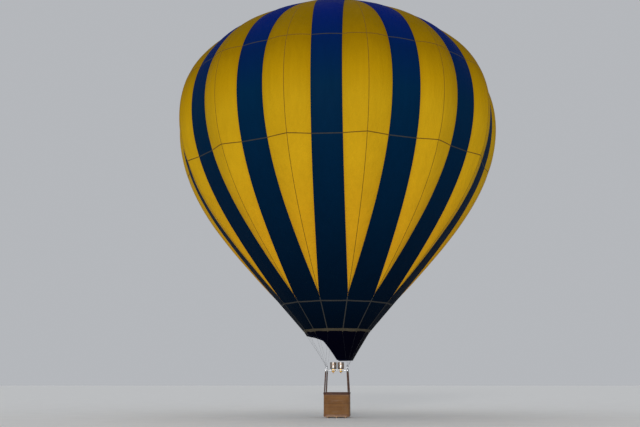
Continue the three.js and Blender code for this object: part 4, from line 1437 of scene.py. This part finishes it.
def tank_shell():
    """A tank's shell about its own axis, with a collar on three legs."""
    profile = [(0, 0), *arc(TANK_RADIUS - TANK_BEND, TANK_BEND, TANK_BEND, TANK_BEND, -90, 0, 6)]
    shoulder = TANK_TOP - 0.09
    profile += [(TANK_RADIUS, 0.06), (TANK_RADIUS - 0.0015, 0.063), (TANK_RADIUS, 0.066)]
    profile.append((TANK_RADIUS, shoulder - 0.003))
    profile += arc(0.085, shoulder, 0.07, 0.078, 0, 90, 12)
    profile += [(0.05, TANK_TOP - 0.008), (0, TANK_TOP - 0.006)]
    low, high = TANK_TOP - 0.016, TANK_TOP + 0.07
    parts = [lathe(profile, 56)]
    parts += [collar(*ends, COLLAR_IN, COLLAR_OUT) for ends in ((low, low + 0.024), (high - 0.022, high))]
    parts.append(ring((0, 0, high), 0.0928, 0.0034, steps=56))
    bottom, top = low + 0.02, high - 0.02
    leg = ((COLLAR_IN, bottom), (COLLAR_OUT, bottom), (COLLAR_OUT, top), (COLLAR_IN, top))
    for k in range(3):
        middle = 2 * pi * (k + 0.5) / 3
        angles = [middle + turn for turn in split(radians(-26), radians(26), 8)]
        parts.append(skin([[around(angle, *corner) for corner in leg] for angle in angles]))
    return parts


def tanks():
    valve = [
        rod(Z, 0.03, 0.03, (0, 0, TANK_TOP), 6, edge=0.003),
        rod(Z, 0.018, 0.04, (0, 0, TANK_TOP + 0.018), 24, edge=0.002),
        rod(X, 0.012, 0.05, (0.025, 0, TANK_TOP + 0.02), 24, edge=0.002),
        rod(X, 0.016, 0.014, (0.045, 0, TANK_TOP + 0.02), 6, edge=0.002),
        rod(Z, 0.022, 0.012, (-0.052, 0.02, TANK_TOP), 24, edge=0.002),
    ]
    wheel = [ring((0, 0, WHEEL_Z), 0.026, 0.0042, steps=32, sides=10)]
    wheel.append(rod(Z, 0.008, 0.012, (0, 0, WHEEL_Z), 16))
    for turn in turns(4):
        wheel.append(tube([around(turn, radius, WHEEL_Z) for radius in (0.005, 0.026)], 0.0028, 8))
    straps = [collar(z - 0.025, z + 0.025, 0.1545, 0.1575, 0.0005) for z in STRAP_HEIGHTS]
    # Columns: name, parts, material, slot, crease, node
    fittings = (
        ("tank_shell", tank_shell(), ALUMINIUM, "aluminium", 40, "fuel_tank"),
        ("tank_valve", valve, BRASS, "brass", 35, None),
        ("tank_wheel", wheel, RED_PLASTIC, "red_plastic", 40, None),
        ("tank_straps", straps, GREY_WEBBING, "webbing", 40, None),
    )
    for corner, (sx, sy) in CORNERS.items():
        place = shift(sx * TANK_X, sy * TANK_Y, GROUND + FLOOR_TOP)
        for name, parts, material, slot, crease, node in fittings:
            look = {"place": place, "crease": crease, "node": node and f"{node}_{corner}"}
            piece(f"{name}_{corner}", parts, material, slot, **look)
        inward = xyz(-sx, -sy, 0).normalized()
        buckles = []
        for z in STRAP_HEIGHTS:
            spot = facing(place.translation + inward * 0.159 + Z * z, inward)
            for size, at, edge in (
                ((0.06, 0.044, 0.006), (0, 0, 0), 0.002),
                ((0.02, 0.056, 0.004), (0.012, 0, 0.003), 0.001),
            ):
                buckles.append(moved(block(size, at, edge), spot))
        piece(f"tank_buckles_{corner}", buckles, STEEL, "steel")


floor_board()
walls()
for name, s in SIDES:
    piece(f"step_welt_{name}", [step_trim(s)], SUEDE, "leather")
rim()
for name, (sx, sy) in CORNERS.items():
    upright(name, sx, sy)
tanks()

# Floor, light, and the camera as found from the photograph's perspective


def make_floor():
    reach = 900
    corners = [(-reach, -reach), (reach, -reach), (reach, reach), (-reach, reach)]
    mesh = bpy.data.meshes.new("floor")
    mesh.from_pydata([(x, y, GROUND) for x, y in corners], [], [(0, 1, 2, 3)])
    shader = Shader("floor_paint")
    mottle = shader.ramp(shader.noise(0.6, 4.0), 0.3, 0.7)
    shader.finish(shader.blend(mottle, (0.8, 0.8, 0.79, 1), (0.84, 0.84, 0.83, 1)), 0.9, specular=0.1)
    mesh.materials.append(shader.material)
    new_object("floor", mesh)


def make_lights():
    world = bpy.data.worlds.new("studio")
    world.use_nodes = True
    background = world.node_tree.nodes["Background"]
    background.inputs["Color"].default_value = (0.92, 0.95, 1.0, 1)
    background.inputs["Strength"].default_value = 0.5
    bpy.context.scene.world = world
    # Columns: name, strength, softness, height and heading in degrees, colour
    for name, energy, softness, height, heading, colour in (
        ("key", 2.15, 15, 6, -3, (1, 0.98, 0.94)),
        ("top", 0.25, 60, 75, -60, (1, 1, 1)),
    ):
        data = bpy.data.lights.new(name, "SUN")
        data.energy = energy
        data.color = colour
        data.angle = radians(softness)
        light = new_object(name, data)
        light.rotation_euler = (radians(90 - height), 0, radians(heading))


def make_camera():
    distance, azimuth, height = 42.30, radians(2.97), 1.62
    tilt, heading = radians(101.645), radians(4.13)
    data = bpy.data.cameras.new("camera")
    data.sensor_width = 36
    data.lens = 46.56
    data.clip_end = 2000
    camera = new_object("camera", data)
    camera.location = around(azimuth, distance, GROUND + height)
    camera.rotation_euler = (tilt, 0, heading)
    bpy.context.scene.camera = camera


make_floor()
make_lights()
make_camera()
bpy.context.scene.view_settings.view_transform = "Standard"
